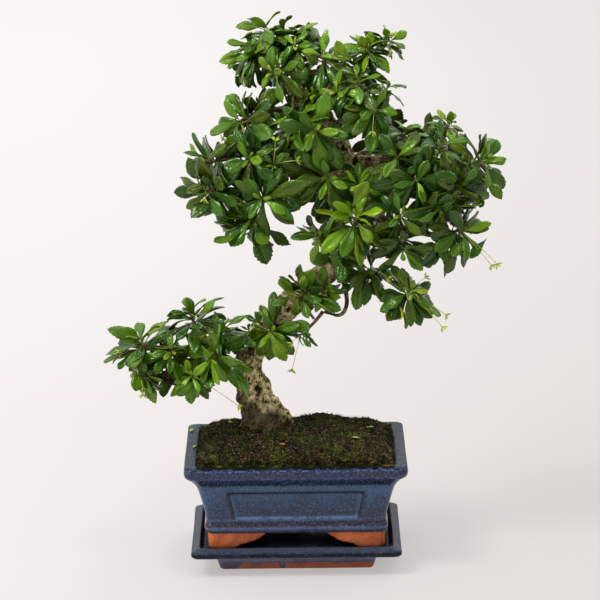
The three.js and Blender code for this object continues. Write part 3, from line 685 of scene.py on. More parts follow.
def drill_at(x):
    angles = np.linspace(0, 2 * math.pi, DRILL_SIDES, endpoint=False)
    points = [(x + DRAIN_RADIUS * math.cos(a), DRAIN_RADIUS * math.sin(a), z)
              for z in (DRILL_LOW, DRILL_HIGH) for a in angles]
    return points, stack_faces(DRILL_SIDES, 2)


drill = make_piece("drill", *merge_lists([drill_at(-DRAIN_X), drill_at(DRAIN_X)]), [clay.material])
apply_modifier(pot_body, "BOOLEAN", object=drill, operation="DIFFERENCE", solver="MANIFOLD")
bpy.data.objects.remove(drill)
print("pot body after drilling:", count_triangles(pot_body), "triangles")

# %% painted shadow and highlight by the panel's edge
NEAR_TOP = 2.5
NEAR_BOTTOM = 3
PANEL_SHADOW_BAND = {"at": -0.6, "top_width": 1.6, "width": 2.8}
PANEL_HIGHLIGHT_BAND = {"at": 1.4, "width": 1.4, "side_share": 0.55, "from": -0.8}
OUTER_SKIN = 2.2


def bell(value, middle, width):
    return math.exp(-((value - middle) / width) ** 2)


def glaze_place(place):
    """How much painted shadow lies at the panel's edge, how much painted highlight on its lower lip, and 1
    for outside.
    """
    x, y, z = place
    half = read_profile(z, 0)
    long_side = abs(y) / (half - POT_SHORTER_Y) > abs(x) / half
    half_width = panel_half_width(z, 0 if long_side else POT_SHORTER_Y)
    inside = min(half_width - abs(x if long_side else y), z - PANEL_BOTTOM["z"], PANEL_TOP["z"] - z)
    top = z > PANEL_TOP["z"] - NEAR_TOP
    bottom = z < PANEL_BOTTOM["z"] + NEAR_BOTTOM
    dark = bell(inside, PANEL_SHADOW_BAND["at"], PANEL_SHADOW_BAND["top_width"] if top else PANEL_SHADOW_BAND["width"]) * (not bottom)
    share = 1 if bottom else PANEL_HIGHLIGHT_BAND["side_share"]
    light = bell(inside, PANEL_HIGHLIGHT_BAND["at"], PANEL_HIGHLIGHT_BAND["width"]) * share * (not top)
    outer = abs(x) > half - OUTER_SKIN or abs(y) > half - POT_SHORTER_Y - OUTER_SKIN
    return dark, light if inside > PANEL_HIGHLIGHT_BAND["from"] else 0.0, float(outer)


note_points(pot_body, "glaze_place", glaze_place)
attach(pot_body, "root")
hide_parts("pot")
print("pot body rides the root, in place of the CAD pot")

# %% [markdown]
# ## Bracket feet
# The feet are the pot's only bare clay. Each foot wraps a corner, with a flat pad to stand on and a
# scalloped edge that rises to the wall. Two thin wings make one foot. They are fused, trimmed by the
# wall's rounded outline, and then rebuilt on a fine grid, which softens them like sponged clay.

# %% feet
FOOT_BOTTOM = 21
FOOT_HEIGHT = 15.5
FOOT_PAD = 20
FOOT_KNEE = (8, 3.4)
FOOT_WALL = 8
FOOT_REACH = 53
FOOT_SIDE_REACH = 36
FOOT_GRID = 1.05
FLAT_PAD_HEIGHT = 0.8
TRIM_ROWS = [(78.2, FOOT_BOTTOM, 5), (79.4, FOOT_BOTTOM + 2.5, 6), (79.4, 36.4, 6)]


def bend_points(start, bend, end, steps=8):
    """Points of a smooth bend after its start, drawn towards the point called bend."""
    for step in range(1, steps + 1):
        t = step / steps
        yield tuple((1 - t) ** 2 * a + 2 * t * (1 - t) * b + t * t * c for a, b, c in zip(start, bend, end))


def wing_outline(reach):
    """The wing seen from the side, from its corner inwards: distance from the corner and height."""
    knee = (FOOT_PAD + FOOT_KNEE[0], FOOT_KNEE[1])
    outline = [(0, 0), (FOOT_PAD, 0)]
    outline += bend_points((FOOT_PAD, 0), (FOOT_PAD + 6, 0.6), knee)
    outline += bend_points(knee, (reach - 9, 5.5), (reach, FOOT_HEIGHT))
    return outline + [(0, FOOT_HEIGHT)]


def wing(reach, side_x, side_y, along_x):
    """Points and faces of one wing at the pot's corner on the given sides."""
    corner = (POT_PROFILE[0][0], POT_PROFILE[0][0] - POT_SHORTER_Y)
    outline = wing_outline(reach)
    points = []
    for depth in (0, FOOT_WALL):
        for run, rise in outline:
            inwards = (run, depth) if along_x else (depth, run)
            points.append((side_x * (corner[0] - inwards[0]), side_y * (corner[1] - inwards[1]),
                           FOOT_BOTTOM + rise))
    count = len(outline)
    faces = [tuple(range(count)), tuple(range(2 * count - 1, count - 1, -1))]
    faces += [((i + 1) % count, i, i + count, (i + 1) % count + count) for i in range(count)]
    if side_x * side_y * (1 if along_x else -1) > 0:
        faces = [face[::-1] for face in faces]
    return points, faces


def sponged(place):
    """Small waves on the clay, but none on the pads that the pot stands on."""
    if place.z < FOOT_BOTTOM + FLAT_PAD_HEIGHT:
        return 0.0
    return noise.noise(place / 9) * 0.45 + noise.noise(place / 3) * 0.2


corners = [(1, 1), (-1, 1), (-1, -1), (1, -1)]
long_wings = merge_lists([wing(FOOT_REACH, x, y, True) for x, y in corners])
short_wings = merge_lists([wing(FOOT_SIDE_REACH, x, y, False) for x, y in corners])
feet = make_piece("pot_feet", *long_wings, [clay.material])
other_wings = make_piece("other_wings", *short_wings, [clay.material])
plain_stops = np.linspace(-1, 1, 12)
trim_points = []
for half, z, corner in TRIM_ROWS:
    trim_points += ring_points(half, half - POT_SHORTER_Y, corner, z, plain_stops, plain_stops)[0]
trim_ring = len(trim_points) // len(TRIM_ROWS)
trim = make_piece("trim", trim_points, stack_faces(trim_ring, len(TRIM_ROWS)), [clay.material])
apply_modifier(feet, "BOOLEAN", object=other_wings, operation="UNION", solver="MANIFOLD")
apply_modifier(feet, "BOOLEAN", object=trim, operation="INTERSECT", solver="MANIFOLD")
bpy.data.objects.remove(other_wings)
bpy.data.objects.remove(trim)
apply_modifier(feet, "REMESH", mode="VOXEL", voxel_size=FOOT_GRID * MM, use_smooth_shade=True)
apply_modifier(feet, "SMOOTH", factor=0.5, iterations=3)
move_points(feet, sponged)
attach(feet, "root")
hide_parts("pot")
print("feet triangles:", count_triangles(feet))

# %% [markdown]
# ## The saucer's glaze
# The saucer is dipped too, and its foot wiped clean, so a strip of bare clay runs along the bottom. The
# wipe was not perfect: the glaze line wanders, one long tongue is left at the front left and a drip runs
# down beside it. The mask for the glaze is the height plus noise, plus those tongues. The well lies in the
# pot's shade and looks nearly black, so the bands paint it nearly black, as painted shade, and its
# reflections are sharper and weaker than the rim's.

# %% saucer paint
# The dark rows from 18.6 to 22.4 mm are painted shade: they make the well under the pot nearly black.
SAUCER_BANDS = [
    (0, (50, 36, 46)), (7.4, (92, 82, 104)), (9, (108, 108, 134)), (11, (104, 94, 118)),
    (12.6, (108, 118, 146)), (15, (70, 72, 98)), (17.2, (60, 58, 78)), (18.6, (30, 28, 46)),
    (20.2, (14, 16, 28)), (21.4, (8, 10, 18)), (22.4, (26, 26, 42)), (23.6, (56, 60, 72)),
    (26, (56, 60, 72)),
]
SAUCER_STREAKS = [(12.8, 0.8)]
SAUCER_LOW = 0
SAUCER_HIGH = 27
GLAZE_LINE = 6.4
LINE_BLUR = 0.25
LINE_WANDER = 4
TONGUES = [(-60, 14, 6), (-13, 4, 7.5), (-36, 9, 2.4), (40, 12, 1.4)]
TONGUE_CORE = 0.35
FRONT_SIDE = (0, -20)
WELL = {"long": (87.2, 86.2), "short": (67.2, 66.2), "above": (20.5, 20.8)}

saucer_paint = glaze_paint("saucer_glaze", SAUCER_BANDS, SAUCER_STREAKS, SAUCER_LOW, SAUCER_HIGH,
                           wander_mm=0.7, dull_above=18.4, pale_specks=0.15)
tray_x, tray_y, tray_z = saucer_paint.split(saucer_paint.place())
line = saucer_paint.shaken(tray_z, saucer_paint.noise(13, 3), LINE_WANDER)
for tongue_x, reach, drop in TONGUES:
    distance = saucer_paint.size_of(saucer_paint.minus(tray_x, tongue_x * MM))
    near = saucer_paint.times(saucer_paint.past(distance, (reach, TONGUE_CORE * reach)), drop * MM)
    line = saucer_paint.plus(line, saucer_paint.times(near, saucer_paint.past(tray_y, FRONT_SIDE)))
glazed = saucer_paint.past(line, (GLAZE_LINE - LINE_BLUR, GLAZE_LINE + LINE_BLUR))
well = saucer_paint.times(
    saucer_paint.past(saucer_paint.size_of(tray_x), WELL["long"]),
    saucer_paint.past(saucer_paint.size_of(tray_y), WELL["short"]),
    saucer_paint.past(tray_z, WELL["above"]),
)
strip_colour = saucer_paint.mix(0.55, clay_colour(saucer_paint), colour(112, 56, 38))
bare_rough = saucer_paint.times(saucer_paint.minus(1.0, glazed), 0.6)
tray_rough = saucer_paint.lowered(saucer_paint.driver_of("Roughness"), well, 0.75)
saucer_paint.set(
    Base_Color=saucer_paint.lay(strip_colour, saucer_paint.driver_of("Base Color"), glazed),
    Roughness=saucer_paint.plus(tray_rough, bare_rough, clamp=True),
    Specular_IOR_Level=saucer_paint.lowered(saucer_paint.driver_of("Specular IOR Level"), well, 0.6),
)
print("glaze line at", GLAZE_LINE, "mm with", len(TONGUES), "tongues")

# %% [markdown]
# ## The saucer
# The saucer is a shallow tray: a foot, a step, a broad lip and a rim that slopes outwards from its inner
# edge. Its well is flat, so that the pot's feet stand on it and drained water lies round them.

# %% saucer
SAUCER_SHORTER_Y = 20
SAUCER_ROWS = [
    (68.2, 0, 4), (69, 0.6, 4), (70.4, 4.6, 4.5), (71.7, 8.4, 5), (72.1, 9.4, 5), (72.8, 12, 5),
    (73.5, 13, 5), (76, 14.5, 5), (78.4, 15.7, 5), (80.5, 16.2, 5), (86, 16.8, 6), (91.8, 17.4, 7),
    (93.6, 17.9, 7), (94.3, 18.8, 7), (94.5, 20, 7), (94.4, 21.6, 7), (94, 22.5, 7), (92.6, 23.3, 7),
    (90.4, 24.5, 7), (88.4, 25.6, 7), (87.7, 25.9, 6.6), (87.1, 25.8, 6), (86.8, 25, 5.4),
    (86.4, 23.6, 5), (85.4, 22, 4.6), (84.4, 21.2, 4.2), (83.2, 21, 4), (60, 21, 4),
]
LONG_STOPS = np.linspace(-1, 1, 50)
SHORT_STOPS = np.linspace(-1, 1, 36)
TRAY_UNEVEN = {"reach": 0.4, "size": 60}

saucer_points = []
for half, z, corner in SAUCER_ROWS:
    ring = ring_points(half, half - SAUCER_SHORTER_Y, corner, z, LONG_STOPS, SHORT_STOPS)[0]
    saucer_points += [hand_pressed(point, **TRAY_UNEVEN) for point in ring]
saucer_ring = len(saucer_points) // len(SAUCER_ROWS)
saucer = make_piece("saucer_tray", saucer_points, stack_faces(saucer_ring, len(SAUCER_ROWS)),
                    [saucer_paint.material])
note_points(saucer, "glaze_place", lambda place: (0, 0, 1))
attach(saucer, "root")
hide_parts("saucer")
print("saucer triangles:", count_triangles(saucer))

# %% [markdown]
# ## Drainage screens
# Squares of black plastic mesh keep the soil in. They lie hidden under it, so the CAD pieces stay as they
# are and only get their plastic finish, matt with a faint grain.

# %% screens
plastic = Paint("screen_plastic")
plastic.set(
    Base_Color=plastic.mix(plastic.noise(3), colour(24, 24, 25), colour(38, 38, 40)),
    Roughness=0.6,
)
for side in ("left", "right"):
    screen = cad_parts["drainage_screen_" + side]
    screen.data.materials.clear()
    screen.data.materials.append(plastic.material)
print("screens painted")

# %% [markdown]
# ## Seeded chance
# Lumps, leaves and crumbs are scattered by chance, but always the same chance, so that the tree comes out
# alike each time. This small number generator is the one that the CAD source uses, so the soil's lumps
# and the leaves land where the CAD has them.

# %% the same random draws as in CAD
MASK = 0xFFFFFFFF


def draws_from(seed):
    """An endless stream of numbers from 0 to 1."""
    state = seed & MASK
    while True:
        state = (state + 0x6D2B79F5) & MASK
        mixed = ((state ^ (state >> 15)) * (state | 1)) & MASK
        mixed ^= (mixed + (((mixed ^ (mixed >> 7)) * (mixed | 61)) & MASK)) & MASK
        yield ((mixed ^ (mixed >> 14)) & MASK) / 4294967296


first_draws = draws_from(7)
print("first draws:", [round(next(first_draws), 3) for _ in range(3)])

# %% [markdown]
# ## Mossy soil
# The root ball stands up from the pot as a low mound, heaped against the trunk's foot. Its height is a
# formula: a mound that falls away at the walls, round lumps, and two kinds of noise for moss and crumbs.

# %% soil heights
POT_RIM_Z = 101.5
SOIL_MOUND = 15.2
SOIL_EDGE_BELOW_RIM = 1.5
MOUND_HALF_X = 90
MOUND_HALF_Y = 65
SOIL_LUMPS = 26
LUMP_SPREAD_X = 78
LUMP_SPREAD_Y = 54
ROOT_HEAP = (-19, -2, 13, 26)
SOIL_HALF_X = 88.1
SOIL_HALF_Y = 63.1
SOIL_CORNER = 6
SOIL_STEP = 1.05
SOIL_WALL = [(93.5, 86.2), (75, 78.5), (43.3, 74)]

chance = draws_from(7)
soil_lumps = [
    ((next(chance) * 2 - 1) * LUMP_SPREAD_X, (next(chance) * 2 - 1) * LUMP_SPREAD_Y,
     0.5 + 1.2 * next(chance), 7 + 8 * next(chance))
    for _ in range(SOIL_LUMPS)
] + [ROOT_HEAP]


def soil_height(x, y):
    """The CAD's soil surface at a place."""
    edge = max((1 - (x / MOUND_HALF_X) ** 8) * (1 - (y / MOUND_HALF_Y) ** 6), 0)
    bumps = sum(h * math.exp(-((x - lx) ** 2 + (y - ly) ** 2) / r ** 2) for lx, ly, h, r in soil_lumps)
    return POT_RIM_Z - SOIL_EDGE_BELOW_RIM + edge * (SOIL_MOUND + bumps)


def soil_detail(x, y):
    """Crumbs and moss cushions on top of it, fading out at the pot's wall."""
    spot = Vector((x, y, 3.7))
    inside = soft_step(min((SOIL_HALF_X - abs(x)) / 5, (SOIL_HALF_Y - abs(y)) / 5))
    cushions = 1 - abs(noise.noise(spot / 8.5))
    crumbs = noise.noise(spot / 3.2) + 0.8 * noise.noise(spot / 1.5)
    return (0.25 + 0.75 * inside) * (3.4 * (cushions - 0.78) + 1.15 * crumbs)


def in_corner(value, other, half, half_other):
    """Draws a square grid's corner in to the pot's round inner corner."""
    a = max(abs(value) - (half - SOIL_CORNER), 0) / SOIL_CORNER
    b = max(abs(other) - (half_other - SOIL_CORNER), 0) / SOIL_CORNER
    return math.copysign(abs(value) - a * SOIL_CORNER * (1 - math.sqrt(1 - b * b / 2)), value)


print("soil in the middle is at z", round(soil_height(0, 0), 1))

# %% soil grid
columns = round(2 * SOIL_HALF_X / SOIL_STEP)
rows = round(2 * SOIL_HALF_Y / SOIL_STEP)
soil_points = []
for row in range(rows + 1):
    for column in range(columns + 1):
        grid_x = (2 * column / columns - 1) * SOIL_HALF_X
        grid_y = (2 * row / rows - 1) * SOIL_HALF_Y
        x = in_corner(grid_x, grid_y, SOIL_HALF_X, SOIL_HALF_Y)
        y = in_corner(grid_y, grid_x, SOIL_HALF_Y, SOIL_HALF_X)
        soil_points.append((x, y, soil_height(x, y) + soil_detail(x, y)))
soil_faces = []
for row in range(rows):
    for column in range(columns):
        a = row * (columns + 1) + column
        soil_faces.append((a, a + 1, a + columns + 2, a + columns + 1))
rim_loop = list(range(columns))
rim_loop += [row * (columns + 1) + columns for row in range(rows)]
rim_loop += [rows * (columns + 1) + column for column in range(columns, 0, -1)]
rim_loop += [row * (columns + 1) for row in range(rows, 0, -1)]
top_loop = rim_loop
for z, half in SOIL_WALL:
    first = len(soil_points)
    for i in rim_loop:
        x, y, _ = soil_points[i]
        soil_points.append((x * half / SOIL_HALF_X, y * (half - POT_SHORTER_Y) / SOIL_HALF_Y, z))
    low_loop = list(range(first, first + len(rim_loop)))
    for i in range(len(rim_loop)):
        after = (i + 1) % len(rim_loop)
        soil_faces.append((low_loop[i], low_loop[after], top_loop[after], top_loop[i]))
    top_loop = low_loop
soil_faces.append(tuple(reversed(top_loop)))
print("soil grid:", columns, "by", rows)

# %% [markdown]
# ## Soil and moss colours
# Wet peat is nearly black. Moss covers it in dark green cushions, and the ground turns brown and dry
# towards the right. Dark patches of painted shade stand for the hollows between the cushions, and pale
# specks of grit and dead moss are scattered over both.

# %% soil
DRY_FROM = (20, 80)

earth = Paint("mossy_soil")
earth_x, _, _ = earth.split(earth.place())
peat = earth.mix(earth.between(earth.noise(3, 4, 0.65), 0.44, 0.64), colour(6, 5, 4), colour(74, 57, 36))
moss = earth.mix(earth.between(earth.noise(2.6, 4, 0.7), 0.42, 0.64), colour(5, 9, 3), colour(78, 86, 27))
mossy = earth.between(earth.noise(17, 4, 0.6), 0.46, 0.6)
dry = earth.times(earth.past(earth_x, DRY_FROM), earth.between(earth.noise(12, 3), 0.5, 0.66))
painted_hollow_shade = earth.between(earth.noise(7, 3, 0.6), 0.5, 0.36)
grit = earth.between(earth.noise(1.5, 1), 0.67, 0.72)
ground = earth.lay(peat, moss, mossy)
ground = earth.lay(ground, colour(94, 76, 42), dry, 0.7)
# Painted shade for the hollows between the cushions.
ground = earth.lay(ground, colour(5, 5, 4), painted_hollow_shade, 0.6)
ground = earth.lay(ground, colour(176, 156, 104), grit, 0.85)
earth.set(Base_Color=ground, Roughness=0.95, Specular_IOR_Level=0.15)
earth.bump(earth.noise(1.5, 5, 0.75), 1.6, 1.0)
soil = make_piece("mossy_root_ball", soil_points, soil_faces, [earth.material])
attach(soil, "root")
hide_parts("soil")
print("soil triangles:", count_triangles(soil))

# %% [markdown]
# ## The trunk's line
# A fukien tea is trained by wiring and pruning: this one leans left out of the soil, sweeps right, and
# turns back left to its crown. The lists below follow that line, as x, y, z and radius in millimetres,
# and are the CAD's own, so that the fine bark lies where the CAD wood lies.

# %% trunk and branches
TRUNK = [
    (-15, 0, 88, 8), (-19, 0, 104, 13), (-25, 0, 121, 19), (-33, -2, 141, 17), (-39, -3, 159, 15),
    (-40, -4, 176, 13), (-38, -4, 191, 12.5), (-29, -4, 208, 11.5), (-14, -6, 226, 11),
    (4, -8, 243, 11.5),
    (22, -10, 258, 11), (40, -10, 273, 10.5), (56, -8, 285, 10), (64, -3, 299, 9.5), (64, 2, 316, 8.8),
    (59, 6, 337, 8.2), (51, 6, 359, 8), (44, 2, 378, 7.6), (32, 0, 400, 7), (16, 0, 418, 6.4),
    (-1, 4, 430, 6), (-12, 6, 440, 5.2), (-26, 6, 456, 3.6),
]
BRANCHES = [
    [(-40, -4, 182, 6), (-60, -8, 176, 5), (-78, -14, 170, 4.2), (-97, -18, 166, 3.6), (-115, -20, 169, 3),
     (-130, -22, 177, 2.6), (-133, -21, 192, 2)],
    [(-60, -8, 176, 4), (-74, -14, 192, 3.2), (-86, -12, 210, 2)],
    [(-38, -4, 191, 5), (-54, -14, 200, 3.2), (-64, -24, 206, 2)],
    [(-60, -8, 176, 4), (-78, 10, 186, 3.2), (-96, 24, 196, 2)],
    [(44, -10, 276, 5), (52, -18, 260, 3.6), (65, -22, 252, 3.2), (77, -24, 248, 2.8), (87, -26, 240, 2.6),
     (101, -28, 245, 2)],
    [(42, -12, 266, 4), (46, -22, 254, 2.6), (47, -24, 238, 2.3), (41, -24, 229, 2), (26, -22, 232, 1.5)],
    [(22, -10, 258, 9), (16, -24, 263, 7.5), (13, -30, 266, 6)],
    [(54, 6, 352, 7), (32, -12, 350, 4.6), (7, -24, 344, 4), (-14, -32, 340, 3.4), (-34, -34, 336, 2.8),
     (-52, -30, 342, 2.4), (-64, -26, 350, 2)],
    [(40, 2, 386, 6), (18, -14, 388, 4.2), (-8, -24, 386, 3.6), (-30, -28, 381, 3), (-46, -24, 376, 2.4),
     (-58, -20, 371, 2)],
    [(16, 0, 418, 5), (-6, -8, 414, 3.4), (-22, -12, 411, 2.6), (-32, -14, 409, 2)],
    [(-1, 4, 430, 5.5), (12, 0, 441, 4.6), (30, -6, 445, 4), (48, -10, 446, 3.2), (62, -10, 452, 2.6),
     (80, -8, 465, 2)],
    [(12, 0, 441, 4), (9, -4, 454, 3), (6, -4, 465, 2)],
    [(26, 0, 406, 5.5), (24, -20, 408, 3), (20, -40, 404, 2)],
    [(36, 0, 394, 5.5), (50, -16, 404, 3.6), (62, -30, 411, 2.8), (66, -42, 415, 2)],
    [(50, 6, 362, 7), (70, -10, 366, 5), (92, -28, 368, 4), (112, -36, 366, 3.2), (130, -38, 358, 2.6),
     (142, -42, 350, 2)],
    [(70, -10, 366, 4.5), (96, -10, 376, 3.6), (122, -10, 380, 3), (144, -8, 375, 2.4), (156, -8, 370, 2)],
    [(63, 0, 318, 7), (78, -16, 315, 4.4), (94, -32, 310, 3.6), (116, -38, 306, 3), (136, -34, 302, 2)],
    [(64, -3, 300, 7), (60, -24, 304, 3.6), (52, -42, 308, 2.2)],
    [(59, 6, 337, 7), (46, 26, 344, 4.2), (24, 42, 350, 3.4), (2, 50, 355, 2.6), (-16, 50, 360, 2)],
    [(51, 6, 359, 6.5), (66, 26, 366, 4), (86, 40, 371, 3), (106, 46, 374, 2)],
    [(16, 0, 418, 5), (34, 18, 426, 3.2), (56, 30, 433, 2)],
    [(-1, 4, 430, 5), (-8, 18, 438, 3), (-12, 32, 444, 2)],
]
print("trunk points:", len(TRUNK), "branches:", len(BRANCHES))

# %% [markdown]
# ## Smooth tubes
# Wood and stems are tubes. A spline runs through the listed points, and rings are set across it, each
# turned as little as possible from the one before, so that ridges run straight up the trunk.

# %% tubes
def spline(rows, steps):
    """More rows between the given ones, on a smooth curve through them, and the place of each."""
    rows = np.asarray(rows, dtype=float)
    padded = np.vstack([[2 * rows[0] - rows[1]], rows, [2 * rows[-1] - rows[-2]]])
    made = []
    places = []
    for i in range(len(rows) - 1):
        p0, p1, p2, p3 = padded[i:i + 4]
        for step in range(steps):
            t = step / steps
            made.append(0.5 * (2 * p1 + (p2 - p0) * t + (2 * p0 - 5 * p1 + 4 * p2 - p3) * t * t
                               + (3 * p1 - p0 - 3 * p2 + p3) * t ** 3))
            places.append(i + t)
    made.append(rows[-1])
    places.append(len(rows) - 1)
    return np.array(made), places


def tube(centres, sides, radius_at):
    """Points and faces of a closed tube. radius_at gives the radius for a ring and an angle."""
    centres = [Vector(c[:3]) for c in centres]
    normal = Vector((0, 1, 0))
    points = []
    for ring, centre in enumerate(centres):
        after = centres[min(ring + 1, len(centres) - 1)]
        before = centres[max(ring - 1, 0)]
        tangent = (after - before).normalized()
        normal = (normal - normal.dot(tangent) * tangent).normalized()
        side = tangent.cross(normal)
        for k in range(sides):
            angle = 2 * math.pi * k / sides
            reach = float(radius_at(ring, angle))
            points.append(tuple(centre + reach * (math.cos(angle) * normal + math.sin(angle) * side)))
    return points, stack_faces(sides, len(centres))


print("tube helpers ready")

# %% tubes of wood
ROOT_RINGS = 3
TRUNK_STEPS = 8
TRUNK_SIDES = 40
BRANCH_STEPS = 5
BRANCH_SIDES = 14


def trunk_radius(place, base, angle):
    """The CAD's radius at a place along the trunk: root ridges at the foot and slow gnarls above."""
    ridges = 0.3 * max(0, math.cos(4 * angle + 0.6)) * soft_step(ROOT_RINGS - place)
    gnarl = 0.07 * math.sin(3 * angle + 1.7 * place) + 0.05 * math.sin(5 * angle - 2.3 * place)
    return base * (1 + ridges + gnarl)


trunk_rows, trunk_places = spline(TRUNK, TRUNK_STEPS)
wood_parts = [tube(trunk_rows, TRUNK_SIDES, lambda ring, angle: trunk_radius(
    trunk_places[ring], trunk_rows[ring][3], angle))]
for branch in BRANCHES:
    branch_rows, _ = spline(branch, BRANCH_STEPS)
    wood_parts.append(tube(branch_rows, BRANCH_SIDES, lambda ring, angle: branch_rows[ring][3]))
wood_points, wood_faces = merge_lists(wood_parts)
print("wood tubes:", len(wood_parts), "with", len(wood_faces), "faces")

# %% [markdown]
# ## The colour of bark
# Old bark is grey-brown and knobbly, split by dark cracks and patched with pale lichen. At the trunk's foot
# it is nearly black below a slanting line, partly as damp, mossy bark and partly as painted shade. The
# paint reads three numbers that each point will hold: how deep the point lies, so that cracks and hollows
# are dark, from the cracks' own colour and from painted shade, how near it is to the places where the bark
# is pale, and how thick the wood is there, because thin twigs are browner.

# %% bark paint
BARK_STOPS = [
    (0.34, (46, 32, 18)), (0.41, (110, 88, 50)), (0.46, (176, 156, 98)), (0.53, (220, 204, 142)),
    (0.62, (244, 232, 186)),
]
GRAIN_STRETCH = (1, 1, 0.6)
FOOT_SLANT = 0.63
FOOT_RAGGED = 30
DAMP_AND_SHADED_BELOW = (132, 120)

bark = Paint("bark")
depth, paleness, thickness = bark.number("bark")
bark_x, _, bark_z = bark.split(bark.place())
blotches = bark.times(bark.minus(bark.noise(10, 3), 0.5), 0.7)
mottle = bark.plus(bark.noise(3.4, 4, 0.68), blotches)
pale = bark.times(paleness, bark.between(bark.noise(4.5, 4, 0.65), 0.42, 0.56))
green = bark.between(bark.noise(11, 4, 0.6), 0.5, 0.68)
sinking = bark.plus(bark_z, bark.times(bark_x, FOOT_SLANT))
low_down = bark.past(bark.shaken(sinking, bark.noise(9, 3), FOOT_RAGGED), DAMP_AND_SHADED_BELOW)
damp_and_shade = bark.mix(bark.between(bark.noise(3, 4, 0.65), 0.42, 0.6), colour(26, 22, 12), colour(66, 56, 28))
specks = bark.between(bark.noise(1.6, 3, 0.6), 0.6, 0.7)
wood_colour = bark.lay(bark.ramp(mottle, BARK_STOPS), colour(226, 208, 164), pale, 0.75)
wood_colour = bark.lay(wood_colour, colour(84, 84, 36), green, 0.35)
# Where the relief lies deep it is darker: the cracks' own colour together with painted shade.
wood_colour = bark.lay(wood_colour, colour(44, 31, 17), bark.between(depth, 0.42, 0.16))
wood_colour = bark.lay(wood_colour, colour(78, 62, 38), bark.between(thickness, 0.6, 0.25), 0.75)
# The foot is nearly black below a slanting line: damp, mossy bark and painted shade.
wood_colour = bark.lay(wood_colour, damp_and_shade, low_down, 0.9)
wood_colour = bark.lay(wood_colour, colour(58, 42, 24), specks, 0.5)
bark.set(Base_Color=wood_colour, Roughness=0.9, Specular_IOR_Level=0.2)
bark.bump(bark.noise(1.6, 5, 0.65, stretch=GRAIN_STRETCH), 0.7, 0.8)
print("bark colours:", len(BARK_STOPS))

# %% [markdown]
# ## The relief of bark
# The tubes are fused on a fine grid into one skin. Then each point moves in or out: slow swellings, finer
# knobs, cracks where a noise crosses zero, and a few deeper notches that show in the picture. The first
# three are smaller on thinner wood, so each point looks up the radius of the nearest centreline.

# %% wood
WOOD_GRID = 1.3
PALE_SPOTS = [
    ((12, -32, 267), 15), ((-30, -22, 146), 14), ((-27, -18, 128), 10), ((-14, -14, 222), 13),
    ((47, 0, 374), 20), ((-47, -14, 178), 10), ((38, -16, 268), 9), ((44, -24, 246), 9),
]
NOTCHES = [
    ((-25, -4, 178), 7, 2.6), ((-18, -6, 156), 5, 1.6), ((-50, -10, 172), 5, 1.5),
    ((-4, -12, 242), 5, 1.2),
]
FULL_RELIEF_RADIUS = 11
LARGEST_RELIEF = 1.3

wood = make_piece("trunk_and_branches", wood_points, wood_faces, [bark.material])
apply_modifier(wood, "REMESH", mode="VOXEL", voxel_size=WOOD_GRID * MM, use_smooth_shade=True)
apply_modifier(wood, "SMOOTH", factor=0.5, iterations=2)
centre_rows = [row for line in [TRUNK] + BRANCHES for row in spline(line, BRANCH_STEPS)[0]]
centre_tree = KDTree(len(centre_rows))
for number, row in enumerate(centre_rows):
    centre_tree.insert(row[:3], number)
centre_tree.balance()


def nearness(place, centre, reach):
    return math.exp(-((place - Vector(centre)).length / reach) ** 2)


def bark_shape(place):
    """How far the bark stands out here, and the depth, paleness and thickness for the paint."""
    radius = centre_rows[centre_tree.find(place)[1]][3]
    size = min(radius / FULL_RELIEF_RADIUS, LARGEST_RELIEF)
    swell = noise.noise(place / 13) * 2.0 + noise.noise(place / 6 + Vector((9, 0, 0))) * 1.3
    crack = abs(noise.noise(Vector((place.x, place.y, place.z * 0.6)) / 4.2 + Vector((0, 7, 0))))
    knob = noise.noise(place / 2.6 + Vector((0, 0, 5)))
    cut = soft_step(1 - crack / 0.12)
    out = size * (swell + 0.7 * knob) - 1.3 * size * cut
    for centre, reach, notch in NOTCHES:
        out -= notch * nearness(place, centre, reach)
    pale_here = max(nearness(place, centre, reach) for centre, reach in PALE_SPOTS)
    deep = min(max(0.5 + 0.25 * (0.7 * knob + swell) - 0.5 * cut, 0), 1)
    return out, (deep, min(pale_here * 1.3, 1), size)


note_points(wood, "bark", lambda place: bark_shape(place)[1])
move_points(wood, lambda place: bark_shape(place)[0])
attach(wood, "root")
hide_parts("trunk")
print("wood triangles:", count_triangles(wood))

# %% [markdown]
# ## Moss fibres
# Up close the moss is a felt of short fibres, which makes the soil's edge look fuzzy against the wall.
# Each fibre is a spike with three sides. They grow in tufts over the cushions, longer ones stand along the
# pot's edge and lean over it, and loose ones lie with the soil that was spilled on the front rim.

# %% moss fibres
MOSS_TUFTS = 3600
FIBRES_IN_TUFT = 3
EDGE_TUFTS = 700
EDGE_ALONG_FRONT = 0.7
SPILLED_FIBRES = 2600
SPILLED_HALF_X = 87
SPILLED_FROM_Y = -62.6
RIM_EDGE_Y = -72.5
KINDS = {"fibre": 0, "root bit": 1, "scrap": 2, "withered scrap": 3}

scatter = random.Random(5)
litter_parts = []
litter_kinds = []


def surface(x, y):
    return soil_height(x, y) + soil_detail(x, y)


def spike(foot, tip, thick):
    """A pointed fibre with three sides."""
    along = (tip - foot).normalized()
    side = along.orthogonal().normalized()
    points = [tuple(foot + thick * (Quaternion(along, 2 * math.pi * k / 3) @ side)) for k in range(3)]
    return points + [tuple(tip)], [(0, 1, 3), (1, 2, 3), (2, 0, 3), (2, 1, 0)]


def add_litter(part, kind):
    litter_parts.append(part)
    litter_kinds.extend([KINDS[kind]] * len(part[1]))


def add_fibre(foot, lean, length, thick):
    add_litter(spike(foot, foot + length * lean.normalized(), thick), "fibre")


